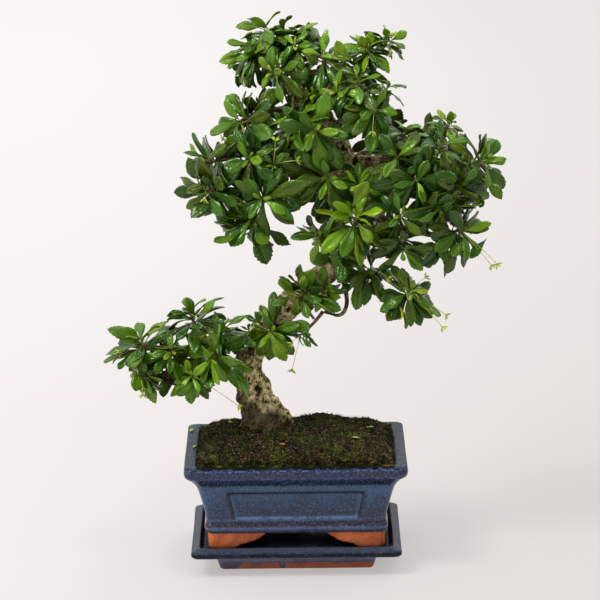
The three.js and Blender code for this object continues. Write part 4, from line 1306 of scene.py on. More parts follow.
for _ in range(MOSS_TUFTS):
    x = scatter.uniform(-SOIL_HALF_X + 2, SOIL_HALF_X - 2)
    y = scatter.uniform(-SOIL_HALF_Y + 2, SOIL_HALF_Y - 2)
    if noise.noise(Vector((x, y, 0)) / 13) < scatter.uniform(-0.5, 0.3):
        continue
    for _ in range(FIBRES_IN_TUFT):
        foot = Vector((x + scatter.gauss(0, 0.8), y + scatter.gauss(0, 0.8), 0))
        foot.z = surface(foot.x, foot.y) - 0.4
        lean = Vector((scatter.gauss(0, 0.5), scatter.gauss(0, 0.5), 1))
        add_fibre(foot, lean, scatter.uniform(1.2, 3.6), scatter.uniform(0.22, 0.4))
for _ in range(EDGE_TUFTS):
    along_edge = scatter.uniform(-1, 1)
    if scatter.random() < EDGE_ALONG_FRONT:
        x, y = along_edge * (SOIL_HALF_X - 4), -SOIL_HALF_Y + scatter.uniform(0.5, 2.5)
    else:
        x = scatter.choice((-1, 1)) * (SOIL_HALF_X - scatter.uniform(0.5, 2.5))
        y = along_edge * (SOIL_HALF_Y - 4)
    if noise.noise(Vector((x, y, 20)) / 9) < scatter.uniform(-0.3, 0.4):
        continue
    outward = Vector((x / SOIL_HALF_X, y / SOIL_HALF_Y, 0))
    outward = Vector([part if abs(part) > 0.9 else 0 for part in outward])
    for _ in range(FIBRES_IN_TUFT):
        foot = Vector((x + scatter.gauss(0, 0.6), y + scatter.gauss(0, 0.6), 0))
        foot.z = surface(x, y) - 0.4
        lean = Vector((scatter.gauss(0, 0.5), scatter.gauss(0, 0.5), 1)) + 0.6 * outward
        add_fibre(foot, lean, scatter.uniform(2.5, 5), scatter.uniform(0.35, 0.6))
for _ in range(SPILLED_FIBRES):
    x = scatter.uniform(-SPILLED_HALF_X, SPILLED_HALF_X)
    y = SPILLED_FROM_Y - 9.5 * abs(scatter.gauss(0, 0.5))
    if y < RIM_EDGE_Y or noise.noise(Vector((x, y, 40)) / 7) < -0.25:
        continue
    foot = Vector((x, y, POT_RIM_Z - 0.3))
    lean = Vector((scatter.gauss(0, 0.9), scatter.gauss(-0.3, 0.7), 0.6))
    add_fibre(foot, lean, scatter.uniform(1.2, 2.8), scatter.uniform(0.3, 0.6))
print("moss fibres:", len(litter_parts))

# %% [markdown]
# ## Litter
# Between the fibres lie brown bits of root and a few small fallen leaves, flat scraps of yellow-green, two
# of them on the pot's rim and one withered to orange. Fibres and litter are one piece with four finishes.

# %% litter
ROOT_BITS = 22
RIM_SCRAP_Z = 101.8
SCRAPS = [
    (-96, 50, RIM_SCRAP_Z, 2.4), (-91.5, -3, RIM_SCRAP_Z, 2.0), (54, -28, None, 2.0), (68, 10, None, 1.8),
    (-60, 30, None, 1.3), (-12, -46, None, 1.6),
]
WITHERED = (-12, -46)
SCRAP_OUTLINE = [(2.0, 0), (0.9, 0.8), (-0.9, 0.7), (-2.0, 0), (-0.8, -0.8), (1.0, -0.7)]


def scrap(x, y, z, size):
    """A small curled bit of leaf with six corners, lying flat."""
    turn = scatter.uniform(0, 6)
    points = []
    for lift in (0.15, 0.6):
        for u, v in SCRAP_OUTLINE:
            points.append((x + size * (u * math.cos(turn) - v * math.sin(turn)),
                           y + size * (u * math.sin(turn) + v * math.cos(turn)),
                           z + lift + 0.3 * abs(v) * size))
    faces = [tuple(range(5, -1, -1)), tuple(range(6, 12))]
    return points, faces + [(i, (i + 1) % 6, (i + 1) % 6 + 6, i + 6) for i in range(6)]


for _ in range(ROOT_BITS):
    x, y = scatter.uniform(-LUMP_SPREAD_X, LUMP_SPREAD_X), scatter.uniform(-LUMP_SPREAD_Y, LUMP_SPREAD_Y)
    turn = scatter.uniform(0, 6)
    reach = scatter.uniform(3, 11)
    line = [Vector((x + t * reach * math.cos(turn + 0.3 * t), y + t * reach * math.sin(turn + 0.3 * t), 0))
            for t in (-1, -0.5, 0, 0.5, 1)]
    for point in line:
        point.z = surface(point.x, point.y) + 0.3
    thick = scatter.uniform(0.22, 0.5)
    add_litter(tube(line, 5, lambda ring, angle: thick), "root bit")
for x, y, z, size in SCRAPS:
    lying_at = surface(x, y) + 0.8 if z is None else z
    add_litter(scrap(x, y, lying_at, size), "withered scrap" if (x, y) == WITHERED else "scrap")


def two_tone(name, size_mm, detail, first, second, rough):
    """A matt finish that wanders between two colours."""
    paint = Paint(name)
    mixed = paint.mix(paint.noise(size_mm, detail), colour(*first), colour(*second))
    paint.set(Base_Color=mixed, Roughness=rough)
    return paint.material


fibre_paint = Paint("moss_fibres")
fibre_paint.set(Base_Color=fibre_paint.ramp(fibre_paint.noise(8, 4), [
    (0.3, (18, 15, 8)), (0.46, (30, 34, 10)), (0.56, (58, 64, 20)), (0.68, (112, 100, 52)),
]), Roughness=0.9, Specular_IOR_Level=0.1)
litter_finishes = [
    fibre_paint.material,
    two_tone("root_bits", 6, 3, (60, 44, 24), (124, 100, 62), 0.85),
    two_tone("fallen_scraps", 12, 2, (120, 150, 34), (176, 190, 70), 0.55),
    two_tone("withered_scrap", 5, 2, (176, 84, 24), (214, 130, 60), 0.6),
]
litter = make_piece("moss_and_litter", *merge_lists(litter_parts), litter_finishes, litter_kinds)
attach(litter, "root")
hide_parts("soil")
print("litter triangles:", count_triangles(litter))

# %% [markdown]
# ## Where the leafy shoots grow
# The leaves of this species sit in rosettes on short side shoots. Each row below is one rosette, with its
# centre, its size and how far it turns up, by the clumps that the grower has trimmed the crown into. The
# first list is the CAD's. The second holds small rosettes that only fill out the look.

# %% shoots
SHOOTS = {
    "low_left": [
        (-136, -24, 207, 1.15, 0.9), (-93, -10, 228, 1.15, 0.8), (-67, -28, 217, 1, 0.5),
        (-72, -48, 198, 1.2, 0),
        (-91, -36, 178, 0.8, -0.2), (-137, -30, 178, 0.8, -0.2), (-117, 6, 180, 0.95, 0.1),
        (-19, -28, 216, 1, 0.1), (-40, 14, 204, 0.9, 0.6),
    ],
    "middle": [
        (6, -32, 249, 1, 0.3), (55, -60, 325, 1.15, 0.5), (31, -46, 358, 1.1, -0.2),
        (25, -46, 304, 1.05, 0),
        (70, -32, 274, 0.95, 0), (102, -44, 255, 1, 0.2), (29, -34, 252, 0.75, 0.3),
    ],
    "left": [
        (-43, -26, 405, 1.1, 0.3), (-75, -34, 372, 1.1, 0.1), (-73, -50, 348, 1.2, -0.3),
        (-26, -56, 343, 1.25, -0.1), (-34, -40, 312, 1.35, -0.5), (-37, -50, 376, 1, 0.4),
        (-29, 0, 415, 0.8, 0.2),
    ],
    "top": [
        (-35, -2, 465, 1.1, 0.5), (-23, 10, 482, 0.95, 0.7), (-15, -30, 450, 0.95, 0.2),
        (5, -14, 469, 0.9, 0.6),
        (11, 10, 477, 0.75, 0.8), (27, -26, 464, 1, 0.5), (3, -42, 411, 1.05, 0.3),
        (20, -60, 404, 1.2, 0),
    ],
    "upper_right": [
        (86, -6, 475, 0.75, 0.6), (67, -18, 468, 0.75, 0.8), (57, -40, 444, 0.9, 0.3),
        (72, -50, 419, 1, 0.3),
        (99, -32, 396, 0.85, 0.5),
    ],
    "right": [
        (92, -58, 379, 1.15, 0.2), (138, -16, 400, 0.65, 0.9), (169, -26, 366, 1.15, 0.4),
        (130, -44, 386, 1.05, 0.4), (145, -48, 350, 1.15, -0.2), (108, -68, 360, 1.15, 0),
        (129, -62, 334, 1.2, -0.3), (148, -52, 311, 1.2, -0.2), (96, -48, 295, 1.15, -0.2),
    ],
    "back": [
        (-22, 62, 366, 1.1, 0.2), (24, 58, 366, 1.1, 0.3), (88, 54, 381, 1.05, 0.2),
        (118, 50, 366, 1.1, 0),
        (60, 44, 444, 0.95, 0.5), (-12, 42, 463, 0.9, 0.5), (30, 46, 322, 1.1, 0),
        (14, 52, 410, 1.05, 0.3),
        (98, 42, 340, 1.1, 0),
    ],
}
SMALL_SHOOTS = {
    "low_left": [(-62, 24, 200, 0.8, 0.3), (6, -26, 212, 0.6, 0), (-110, -34, 200, 0.8, 0.2)],
    "middle": [(62, -30, 264, 0.8, 0.2), (46, -46, 298, 0.85, 0), (58, -46, 352, 0.9, 0.3)],
    "left": [(-8, -30, 400, 0.9, 0.2), (-16, -52, 372, 0.8, 0.2), (-50, 30, 385, 0.9, 0.2)],
    "top": [
        (-7, 12, 481, 0.8, 0.8), (20, -26, 428, 0.9, 0.3), (41, -44, 434, 0.9, 0.2),
        (-36, 16, 446, 0.9, 0.2),
    ],
    "upper_right": [(45, -10, 452, 0.8, 0.5), (84, -34, 436, 0.75, 0.4)],
    "right": [
        (140, 24, 345, 1, 0), (94, -62, 328, 1, -0.1), (118, -52, 372, 0.9, 0.2), (158, -34, 336, 0.9, 0),
    ],
    "back": [
        (20, 52, 350, 1, 0.2), (20, 44, 424, 0.9, 0.3), (90, 34, 320, 0.9, -0.1), (64, 44, 330, 1, 0),
    ],
}
print("rosettes:", sum(map(len, SHOOTS.values())), "and small ones:", sum(map(len, SMALL_SHOOTS.values())))

# %% shoot stems
CROWN_AXIS_X = 40
WOOD_LINES = [TRUNK[3:]] + BRANCHES


def nearest_on_wood(place):
    """The point of the trunk's or a branch's centreline that is nearest to a place."""
    best = None
    for line in WOOD_LINES:
        for first, second in zip(line, line[1:]):
            start = Vector(first[:3])
            along = Vector(second[:3]) - start
            share = min(max((place - start).dot(along) / along.length_squared, 0), 1)
            spot = start + share * along
            if best is None or (spot - place).length < (best - place).length:
                best = spot
    return best


def shoot_frame(row):
    """A shoot's bent stem from the wood to its tip, and the directions of its rosette."""
    centre = Vector(row[:3])
    root = nearest_on_wood(centre)
    reach = (centre - root).length
    outward = Vector((row[0] - CROWN_AXIS_X, row[1], -0.02)).normalized()
    axis = ((centre - root).normalized() * 0.7 + outward * 0.35 + Vector((0, 0, row[4]))).normalized()
    across = (outward - outward.dot(axis) * axis).normalized()
    return {"root": root, "bend": centre - 0.45 * reach * axis, "tip": centre, "reach": reach, "axis": axis,
            "across": across, "upright": axis.cross(across), "size": row[3], "lift": row[4]}


def stem_point(shoot, t):
    return (1 - t) ** 2 * shoot["root"] + 2 * t * (1 - t) * shoot["bend"] + t * t * shoot["tip"]


print("first stem is", round(shoot_frame(SHOOTS["low_left"][0])["reach"]), "mm long")

# %% [markdown]
# ## How a leaf lies
# Round each shoot's tip stand a whorl of old leaves, spread and drooping, and one of young leaves that
# still stands up. Azimuth, angle, length, roll and bend all vary with the draws. The CAD tried each leaf
# again until it touched nothing, so the same draws are repeated here, and the try whose tip is found
# in the CAD node is the one it kept. That puts each fine leaf exactly over its CAD leaf.

# %% leaf poses
OLD_WHORL = {"leaves": 5, "length": 33, "polar": 80, "droop": 0.45, "below_tip": 9}
MIDDLE_WHORL = {"leaves": 4, "length": 28, "polar": 64, "droop": 0.2, "below_tip": 4.5}
YOUNG_WHORL = {"leaves": 3, "length": 21, "polar": 46, "droop": 0, "below_tip": 0}
TIP_WHORL = {"leaves": 3, "length": 10, "polar": 24, "droop": 0, "below_tip": -1}
INNER_WHORL = {"leaves": 6, "length": 27, "polar": 72, "droop": 0.3, "below_tip": 21}
YOUNG_WHORL_TURN = 0.7
PHASE_SPREAD = 0.6
LEAF_ATTEMPTS = 20
BLADE_FACES = (0.35, -0.35)
SAME_PLACE_MM = 0.02


def leaf_pose(shoot, whorl, leaf, phase, draws):
    azimuth = phase + 2 * math.pi * (leaf + (next(draws) - 0.5) * 0.4) / whorl["leaves"]
    polar = math.radians(whorl["polar"] + (next(draws) - 0.5) * 30)
    length = shoot["size"] * whorl["length"] * (0.84 + 0.32 * next(draws))
    roll = (next(draws) - 0.5) * 0.7
    bend = 0.35 + 0.55 * next(draws)
    flat = math.cos(azimuth) * shoot["across"] + math.sin(azimuth) * shoot["upright"]
    direction = math.cos(polar) * shoot["axis"] + math.sin(polar) * flat
    direction.z -= whorl["droop"] * (1 - shoot["lift"])
    direction.normalize()
    face = (shoot["axis"] - shoot["axis"].dot(direction) * direction).normalized()
    face = Quaternion(direction, roll) @ face
    place = 1 - min(0.6, whorl["below_tip"] * shoot["size"] / shoot["reach"])
    return {"centre": stem_point(shoot, place), "direction": direction, "face": face, "length": length,
            "bend": bend}


def tip_of(pose, lift):
    radius = pose["length"] / pose["bend"]
    return (pose["centre"] + pose["direction"] * (radius + lift) * math.sin(pose["bend"])
            + pose["face"] * ((radius + lift) * math.cos(pose["bend"]) - radius))


def points_of(node):
    tree = KDTree(len(node.data.vertices))
    for vertex in node.data.vertices:
        tree.insert(node.matrix_world @ vertex.co / MM, vertex.index)
    tree.balance()
    return tree


def cad_whorl(shoot, number, whorl_number, cad_points):
    """The CAD's leaves of one whorl, and after them the leaves that found no room there."""
    whorl = (OLD_WHORL, YOUNG_WHORL)[whorl_number]
    seed = (number + 1) * 10007 + whorl_number * 5003
    phase = whorl_number * YOUNG_WHORL_TURN + (next(draws_from(seed)) - 0.5) * PHASE_SPREAD
    kept = []
    left_out = []
    for leaf in range(whorl["leaves"]):
        tries = [leaf_pose(shoot, whorl, leaf, phase, draws_from(seed + leaf * 101 + attempt + 1))
                 for attempt in range(LEAF_ATTEMPTS)]
        for pose in tries:
            gaps = [cad_points.find(tip_of(pose, lift))[2] for lift in BLADE_FACES]
            if min(gaps) < SAME_PLACE_MM:
                kept.append(pose)
                break
        else:
            tries[0]["length"] *= 0.8
            left_out.append(tries[0])
    return kept, left_out


print("tries for each leaf:", LEAF_ATTEMPTS)

# %% leaf ages
OLD_AGE = 0.1
YOUNG_AGE = 0.34
# A lower age makes a clump darker; for the back clump, which lies behind, that is painted shade.
PAD_AGE_AND_SHADE = {
    "low_left": 0.17, "middle": 0.08, "left": -0.04, "top": 0.16, "upper_right": 0.1, "right": -0.03,
    "back": -0.08,
}
# Painted shade: leaves deep inside the crown are made older, so darker.
INNER_PAINTED_SHADE = -0.08
FRESH = {
    "low_left_shoot_6": 0.25,
    "middle_shoot_1": 0.15, "middle_shoot_2": 0.3, "middle_shoot_6": 0.38, "middle_shoot_7": 0.22,
    "left_shoot_1": 0.25, "left_shoot_2": 0.2,
    "top_shoot_5": 0.35, "top_shoot_7": -0.1, "top_shoot_8": -0.08,
    "upper_right_shoot_1": 0.4, "upper_right_shoot_2": 0.3,
    "right_shoot_2": 0.35, "right_shoot_3": 0.3,
}

leaves = {pad: [] for pad in SHOOTS}
stems = {pad: [] for pad in SHOOTS}
look = random.Random(11)


def add_leaf(pad, pose, age, width=None, inner=False):
    """Notes a leaf with its age from 0, old, to 1, just opened, and small differences of its own."""
    # Inner leaves and the back clump get painted shade through a lower age.
    age += PAD_AGE_AND_SHADE[pad] + inner * INNER_PAINTED_SHADE
    leaves[pad].append({
        **pose, "age": min(max(age, 0), 1), "tint": look.random(), "yellow": 0.0, "inner": inner,
        "width": width or look.uniform(0.29, 0.42), "twist": look.uniform(-0.7, 0.7),
        "fold": look.uniform(0.2, 0.8), "teeth": look.uniform(0.2, 1.5), "wave": look.uniform(0, 1),
    })


print("shoots with leaves of an age of their own:", len(FRESH))

# %% leaves that the CAD holds
kept_count = 0
left_out_count = 0
number = 0
for pad, rows_of_pad in SHOOTS.items():
    for i, row in enumerate(rows_of_pad):
        name = f"{pad}_shoot_{i + 1}"
        shoot = shoot_frame(row)
        stems[pad].append(shoot)
        cad_points = points_of(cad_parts[name])
        fresh = FRESH.get(name, look.uniform(-0.08, 0.12))
        for whorl_number, age in enumerate((OLD_AGE, YOUNG_AGE)):
            kept, left_out = cad_whorl(shoot, number, whorl_number, cad_points)
            kept_count += len(kept)
            left_out_count += len(left_out)
            for pose in kept + left_out:
                add_leaf(pad, pose, age + fresh + look.uniform(-0.15, 0.25))
        number += 1
print("leaves found in the CAD:", kept_count, "and left out there:", left_out_count)

# %% [markdown]
# ## More leaves than the CAD holds
# The real rosettes are fuller. Between the old and the young whorl stands a middle one, and in the heart
# open the smallest leaves, bright yellow-green. The small rosettes get the same whorls. These leaves are
# only for the look, so they may brush against their neighbours. None is set where the picture shows bare
# bark or a gap through the crown.

# %% fuller rosettes
CLEARINGS = [
    (47, 369, 13), (41, 356, 10), (53, 381, 9), (15, 320, 17), (12, 446, 8), (28, 446, 8), (40, 447, 8),
    (-12, 438, 8), (-5, 427, 8), (22, 263, 12), (-28, 300, 16),
]
HIDES_BARK_BEFORE_Y = 12
VIEW_SLOPE = math.tan(camera_rise)


def in_clearing(pose):
    """Whether a leaf would hide bark or a gap that shows in the picture."""
    middle = pose["centre"] + 0.6 * pose["length"] * pose["direction"]
    seen = Vector((middle.x, middle.z + VIEW_SLOPE * middle.y))
    hides = any((seen - Vector((x, z))).length < reach for x, z, reach in CLEARINGS)
    return hides and middle.y < HIDES_BARK_BEFORE_Y


def add_whorl(pad, shoot, whorl, count, age, scale=1.0, inner=False):
    """A whorl of leaves that the CAD doesn't hold."""
    phase = look.uniform(0, 2 * math.pi)
    spun = dict(whorl, leaves=count)
    for leaf in range(count):
        pose = leaf_pose(shoot, spun, leaf, phase, iter([look.random() for _ in range(5)]))
        pose["length"] *= scale
        pose["bend"] *= look.uniform(0.9, 1.9)
        if not in_clearing(pose):
            add_leaf(pad, pose, age + look.uniform(-0.12, 0.15), inner=inner)


for pad, shoots_of_pad in stems.items():
    for shoot in list(shoots_of_pad):
        add_whorl(pad, shoot, MIDDLE_WHORL, 5, 0.2)
        add_whorl(pad, shoot, dict(INNER_WHORL, below_tip=13), 5, 0.06, inner=True)
        add_whorl(pad, shoot, INNER_WHORL, 6, 0.02, inner=True)
        add_whorl(pad, shoot, TIP_WHORL, look.choice((1, 2, 3)), 0.6)
    for row in SMALL_SHOOTS[pad]:
        shoot = shoot_frame(row)
        shoots_of_pad.append(shoot)
        add_whorl(pad, shoot, OLD_WHORL, 5, 0.1, 0.9)
        add_whorl(pad, shoot, MIDDLE_WHORL, 4, 0.25, 0.9)
        add_whorl(pad, shoot, YOUNG_WHORL, 3, 0.4)
        add_whorl(pad, shoot, TIP_WHORL, 2, 0.7)
print("leaves by clump:", {pad: len(made) for pad, made in leaves.items()})

# %% [markdown]
# ## Leaves that show against the wall
# The leaves at the crown's edge give the tree its outline, so the ones that can be told apart in the
# picture are placed one by one: foot and tip of the blade, its width as a share of its length, how strongly
# it arches, and its age.

# %% leaves placed one by one
EDGE_LEAVES = {
    "low_left": [
        (-133, -24, 208, -166, -34, 221, 0.36, 0.4, 0.2),
        (-136, -20, 198, -151, -30, 222, 0.36, 0.4, 0.3),
        (-137, -22, 193, -148, -32, 181, 0.42, 0.5, 0.25),
        (-138, -26, 185, -142, -36, 164, 0.5, 0.4, 0.3),
        (-89, -12, 225, -96, -20, 246, 0.38, 0.5, 0.4), (-87, -12, 225, -70, -20, 242, 0.36, 0.5, 0.35),
        (-90, -12, 223, -110, -24, 233, 0.36, 0.6, 0.3), (-57, -34, 190, -41, -44, 160, 0.4, 0.4, 0.3),
        (-66, -30, 204, -46, -40, 207, 0.42, 0.5, 0.1), (-86, -34, 173, -106, -46, 163, 0.4, 0.5, 0.15),
        (-77, -34, 178, -74, -46, 169, 0.5, 0.5, 0.2), (-23, -40, 220, -7, -50, 194, 0.4, 0.5, 0.3),
        (-29, -24, 221, -45, -30, 231, 0.36, 0.5, 0.1), (5, -40, 215, 14, -44, 223, 0.45, 0.3, 0.1),
        (5, -40, 214, 15, -44, 205, 0.35, 0.3, 0.1),
    ],
    "middle": [
        (26, -40, 306, -2, -50, 306, 0.4, 0.5, 0.15), (36, -40, 294, 17, -54, 283, 0.45, 0.5, 0.12),
        (47, -44, 292, 41, -56, 266, 0.46, 0.5, 0.08), (55, -62, 327, 79, -76, 335, 0.36, 0.5, 0.6),
        (52, -62, 335, 66, -70, 360, 0.44, 0.5, 0.55), (54, -62, 329, 35, -74, 342, 0.42, 0.4, 0.55),
        (57, -62, 322, 69, -72, 306, 0.46, 0.5, 0.5), (2, -34, 251, -13, -44, 267, 0.45, 0.4, 0.35),
        (0, -34, 249, -19, -44, 243, 0.42, 0.5, 0.15), (15, -36, 250, 42, -46, 239, 0.42, 0.5, 0.2),
        (8, -38, 247, 13, -50, 233, 0.5, 0.5, 0.25), (6, -36, 257, 10, -46, 271, 0.45, 0.3, 0.75),
        (94, -44, 254, 96, -50, 278, 0.42, 0.4, 0.2), (103, -46, 259, 120, -54, 242, 0.38, 0.5, 0.3),
        (92, -44, 247, 94, -52, 231, 0.46, 0.3, 1), (59, -40, 272, 55, -46, 239, 0.42, 0.3, 0.05),
    ],
    "left": [
        (-45, -24, 406, -71, -40, 397, 0.38, 0.5, 0.55), (-73, -34, 374, -95, -44, 382, 0.38, 0.4, 0.4),
        (-71, -40, 354, -93, -52, 348, 0.42, 0.5, 0.05), (-63, -40, 343, -89, -56, 326, 0.42, 0.5, 0.25),
        (-36, -50, 323, -55, -60, 301, 0.5, 0.3, 0.35), (-33, -50, 321, -23, -56, 284, 0.46, 0.3, 0.05),
        (-10, -44, 348, 6, -56, 332, 0.46, 0.4, 0.1),
    ],
    "top": [
        (-19, 8, 482, -35, -4, 494, 0.36, 0.6, 0.4), (-24, 6, 482, -48, -4, 486, 0.38, 0.8, 0.25),
        (-35, 0, 468, -56, -14, 474, 0.34, 0.6, 0.35), (-37, 0, 462, -63, -14, 457, 0.36, 0.9, 0.4),
        (-30, -4, 464, -49, -14, 458, 0.36, 0.6, 0.3), (-25, -8, 451, -41, -18, 447, 0.38, 0.6, 0.1),
        (9, -8, 483, 24, -12, 490, 0.4, 0.5, 0.4), (48, -20, 453, 40, -28, 477, 0.42, 0.4, 0.5),
    ],
    "upper_right": [
        (72, -20, 428, 88, -26, 431, 0.3, 0.6, 0.2), (88, -8, 473, 102, -16, 482, 0.45, 0.3, 0.6),
        (87, -8, 473, 82, -14, 485, 0.45, 0.3, 0.65), (71, -14, 466, 70, -18, 483, 0.5, 0.3, 0.55),
        (63, -14, 463, 62, -22, 480, 0.5, 0.3, 0.6),
    ],
    "right": [
        (139, -20, 399, 140, -26, 413, 0.5, 0.3, 0.65), (164, -30, 368, 186, -40, 371, 0.34, 0.6, 0.5),
        (164, -30, 355, 184, -40, 336, 0.3, 0.9, 0.4), (153, -30, 379, 152, -30, 394, 0.3, 0.4, 0.2),
        (142, -50, 356, 142, -56, 370, 0.6, 0.3, 0.45), (171, -46, 303, 155, -56, 287, 0.36, 0.5, 0.25),
        (156, -40, 305, 172, -52, 313, 0.46, 0.5, 0.2), (152, -50, 304, 139, -58, 289, 0.5, 0.4, 0.5),
        (129, -54, 312, 133, -60, 285, 0.42, 0.4, 0.2), (109, -40, 289, 121, -48, 277, 0.4, 0.5, 0.15),
    ],
}
TOWARDS_VIEWER = Vector((-0.1, -1, 0.75)).normalized()


def leaf_between(foot, tip, width, arch):
    """A leaf's pose from its foot to its tip, its face turned up and towards the viewer."""
    chord = tip - foot
    face = (TOWARDS_VIEWER - TOWARDS_VIEWER.dot(chord.normalized()) * chord.normalized()).normalized()
    face = (Quaternion(chord.normalized(), look.uniform(-0.5, 0.5)) @ face).normalized()
    side = chord.normalized().cross(face)
    half_turn = Quaternion(side, arch / 2)
    return {"centre": foot, "direction": half_turn @ chord.normalized(), "face": half_turn @ face,
            "length": chord.length * (arch / 2) / math.sin(arch / 2), "bend": arch}


for pad, rows_of_pad in EDGE_LEAVES.items():
    for row in rows_of_pad:
        add_leaf(pad, leaf_between(Vector(row[:3]), Vector(row[3:6]), row[6], row[7]), row[8], row[6])
WITHERING_LEAF = -2
leaves["middle"][WITHERING_LEAF]["yellow"] = 0.8
print("leaves placed by eye:", sum(map(len, EDGE_LEAVES.values())))

# %% [markdown]
# ## The blade
# A leaf of this species is spoon shaped: a narrow stalk-like base, widest three quarters of the way out,
# with a few blunt teeth round the tip. The rows of a blade give the place along it, the share of its half
# width there, and the share that a gap between two teeth takes off. It is folded a little along its
# midrib, its edges roll under and it arches away from its glossy face. All leaves of a clump are worked
# out at once as one big table of points. Leaves deep inside the crown, which hardly show, get a plainer
# grade with fewer points.

# %% blades
BLADE_ROWS = np.array([
    (0.03, 0.07, 0), (0.09, 0.10, 0), (0.16, 0.16, 0), (0.25, 0.29, 0), (0.35, 0.47, 0), (0.46, 0.70, 0),
    (0.57, 0.90, 0), (0.66, 0.99, 0), (0.72, 1.0, 0.04), (0.765, 0.96, 0), (0.80, 0.91, 0.14),
    (0.85, 0.80, 0), (0.885, 0.70, 0.14), (0.925, 0.54, 0), (0.96, 0.36, 0.08), (1.0, 0.06, 0),
])
FINE = dict(zip(("along", "half", "tooth"), BLADE_ROWS.T))
FINE["across"] = np.array([-1, -0.66, -0.3, 0, 0.3, 0.66, 1])
PLAIN_ROWS = [0, 2, 3, 4, 5, 6, 8, 11, 13, 15]
PLAIN = {key: FINE[key][PLAIN_ROWS] for key in ("along", "half", "tooth")}
PLAIN["across"] = np.array([-1, -0.5, 0, 0.5, 1])


def blade_points(blades, grade):
    """Upper and lower points of all blades, and each point's place along and across its blade."""
    def of(key):
        return np.array([blade[key] for blade in blades], dtype=float)

    centre, direction, face = of("centre"), of("direction"), of("face")
    side = np.cross(direction, face)
    length, bend = of("length")[:, None], of("bend")[:, None]
    s = grade["along"][None, :]
    turn = bend * s
    radius = length / bend
    sine, cosine = np.sin(turn)[..., None], np.cos(turn)[..., None]
    normal = direction[:, None] * sine + face[:, None] * cosine
    spine = centre[:, None] + normal * radius[..., None] - (face * radius)[:, None]
    twist = (of("twist")[:, None] * s)[..., None]
    lateral = side[:, None] * np.cos(twist) + normal * np.sin(twist)
    half = length * of("width")[:, None] / 2 * (grade["half"] - grade["tooth"] * of("teeth")[:, None])
    t = grade["across"][None, None, :]
    fold = of("fold")[:, None, None]
    rise = half[..., None] * (fold * np.abs(t) - (0.5 * fold + 0.2) * np.abs(t) ** 3)
    wave = np.sin(2 * math.pi * (1.6 * s + of("wave")[:, None]))[..., None]
    rise = rise + 0.03 * length[..., None] * wave * t * np.abs(t)
    thick = 0.3 - 0.08 * np.abs(t) + 0.25 * np.clip(0.2 - s, 0, 1)[..., None]
    middle = spine[:, :, None] + lateral[:, :, None] * (half[..., None] * t)[..., None]
    upper = middle + normal[:, :, None] * (rise + thick)[..., None]
    lower = middle + normal[:, :, None] * (rise - thick)[..., None]
    points = np.stack([upper, lower], axis=1)
    place = np.zeros(points.shape)
    place[..., 0] = s[..., None, None].reshape(1, 1, -1, 1)
    place[..., 1] = grade["across"]
    look_of = np.stack([of("age"), of("tint"), of("yellow")], axis=-1)
    look_at = np.broadcast_to(look_of[:, None, None, None], points.shape)
    return points.reshape(-1, 3), place.reshape(-1, 3), look_at.reshape(-1, 3)


def blade_faces(grade):
    """Faces of one blade, with 0 for its upper face and 1 for the rest."""
    rows_count, columns_count = len(grade["along"]), len(grade["across"])
    layer_size = rows_count * columns_count
    faces = []
    for i in range(rows_count - 1):
        for j in range(columns_count - 1):
            a = i * columns_count + j
            quad = (a, a + 1, a + columns_count + 1, a + columns_count)
            faces.append((quad, 0))
            faces.append((tuple(k + layer_size for k in reversed(quad)), 1))
    loop = list(range(columns_count))
    loop += [(i + 1) * columns_count - 1 for i in range(1, rows_count)]
    loop += [(rows_count - 1) * columns_count + j for j in range(columns_count - 2, -1, -1)]
    loop += [i * columns_count for i in range(rows_count - 2, 0, -1)]
    for a, b in zip(loop, loop[1:] + loop[:1]):
        faces.append(((a + layer_size, b + layer_size, b, a), 1))
    return faces


for grade in (FINE, PLAIN):
    grade["faces"] = blade_faces(grade)
    print("triangles in a leaf:", 2 * len(grade["faces"]))

# %% [markdown]
# ## Leaf colours
# Old leaves are a deep green and shine, young ones are yellow-green and softer. The paint reads each leaf's
# age, and each point's place on its blade, to draw the midrib, which is hardly paler than the blade, and
# faint side veins. Undersides are paler and matt. Shoots are brown and woody.

# %% leaf paint
LEAF_SHINE = (0.78, 1.0, 0.56, 1)
UPPER = {
    "ages": [(0, (26, 60, 6)), (0.2, (42, 86, 4)), (0.45, (80, 126, 4)), (0.75, (132, 170, 10)),
             (1, (176, 200, 30))],
    "rib": (120, 150, 50), "rough": 0.05, "shine": 0.55,
}
UNDER = {
    "ages": [(0, (70, 96, 20)), (0.5, (98, 130, 24)), (1, (150, 178, 46))],
    "rib": (140, 160, 80), "rough": 0.4, "shine": 0.2,
}
VEINS_ALONG = 58
VEINS_FORWARD = 5


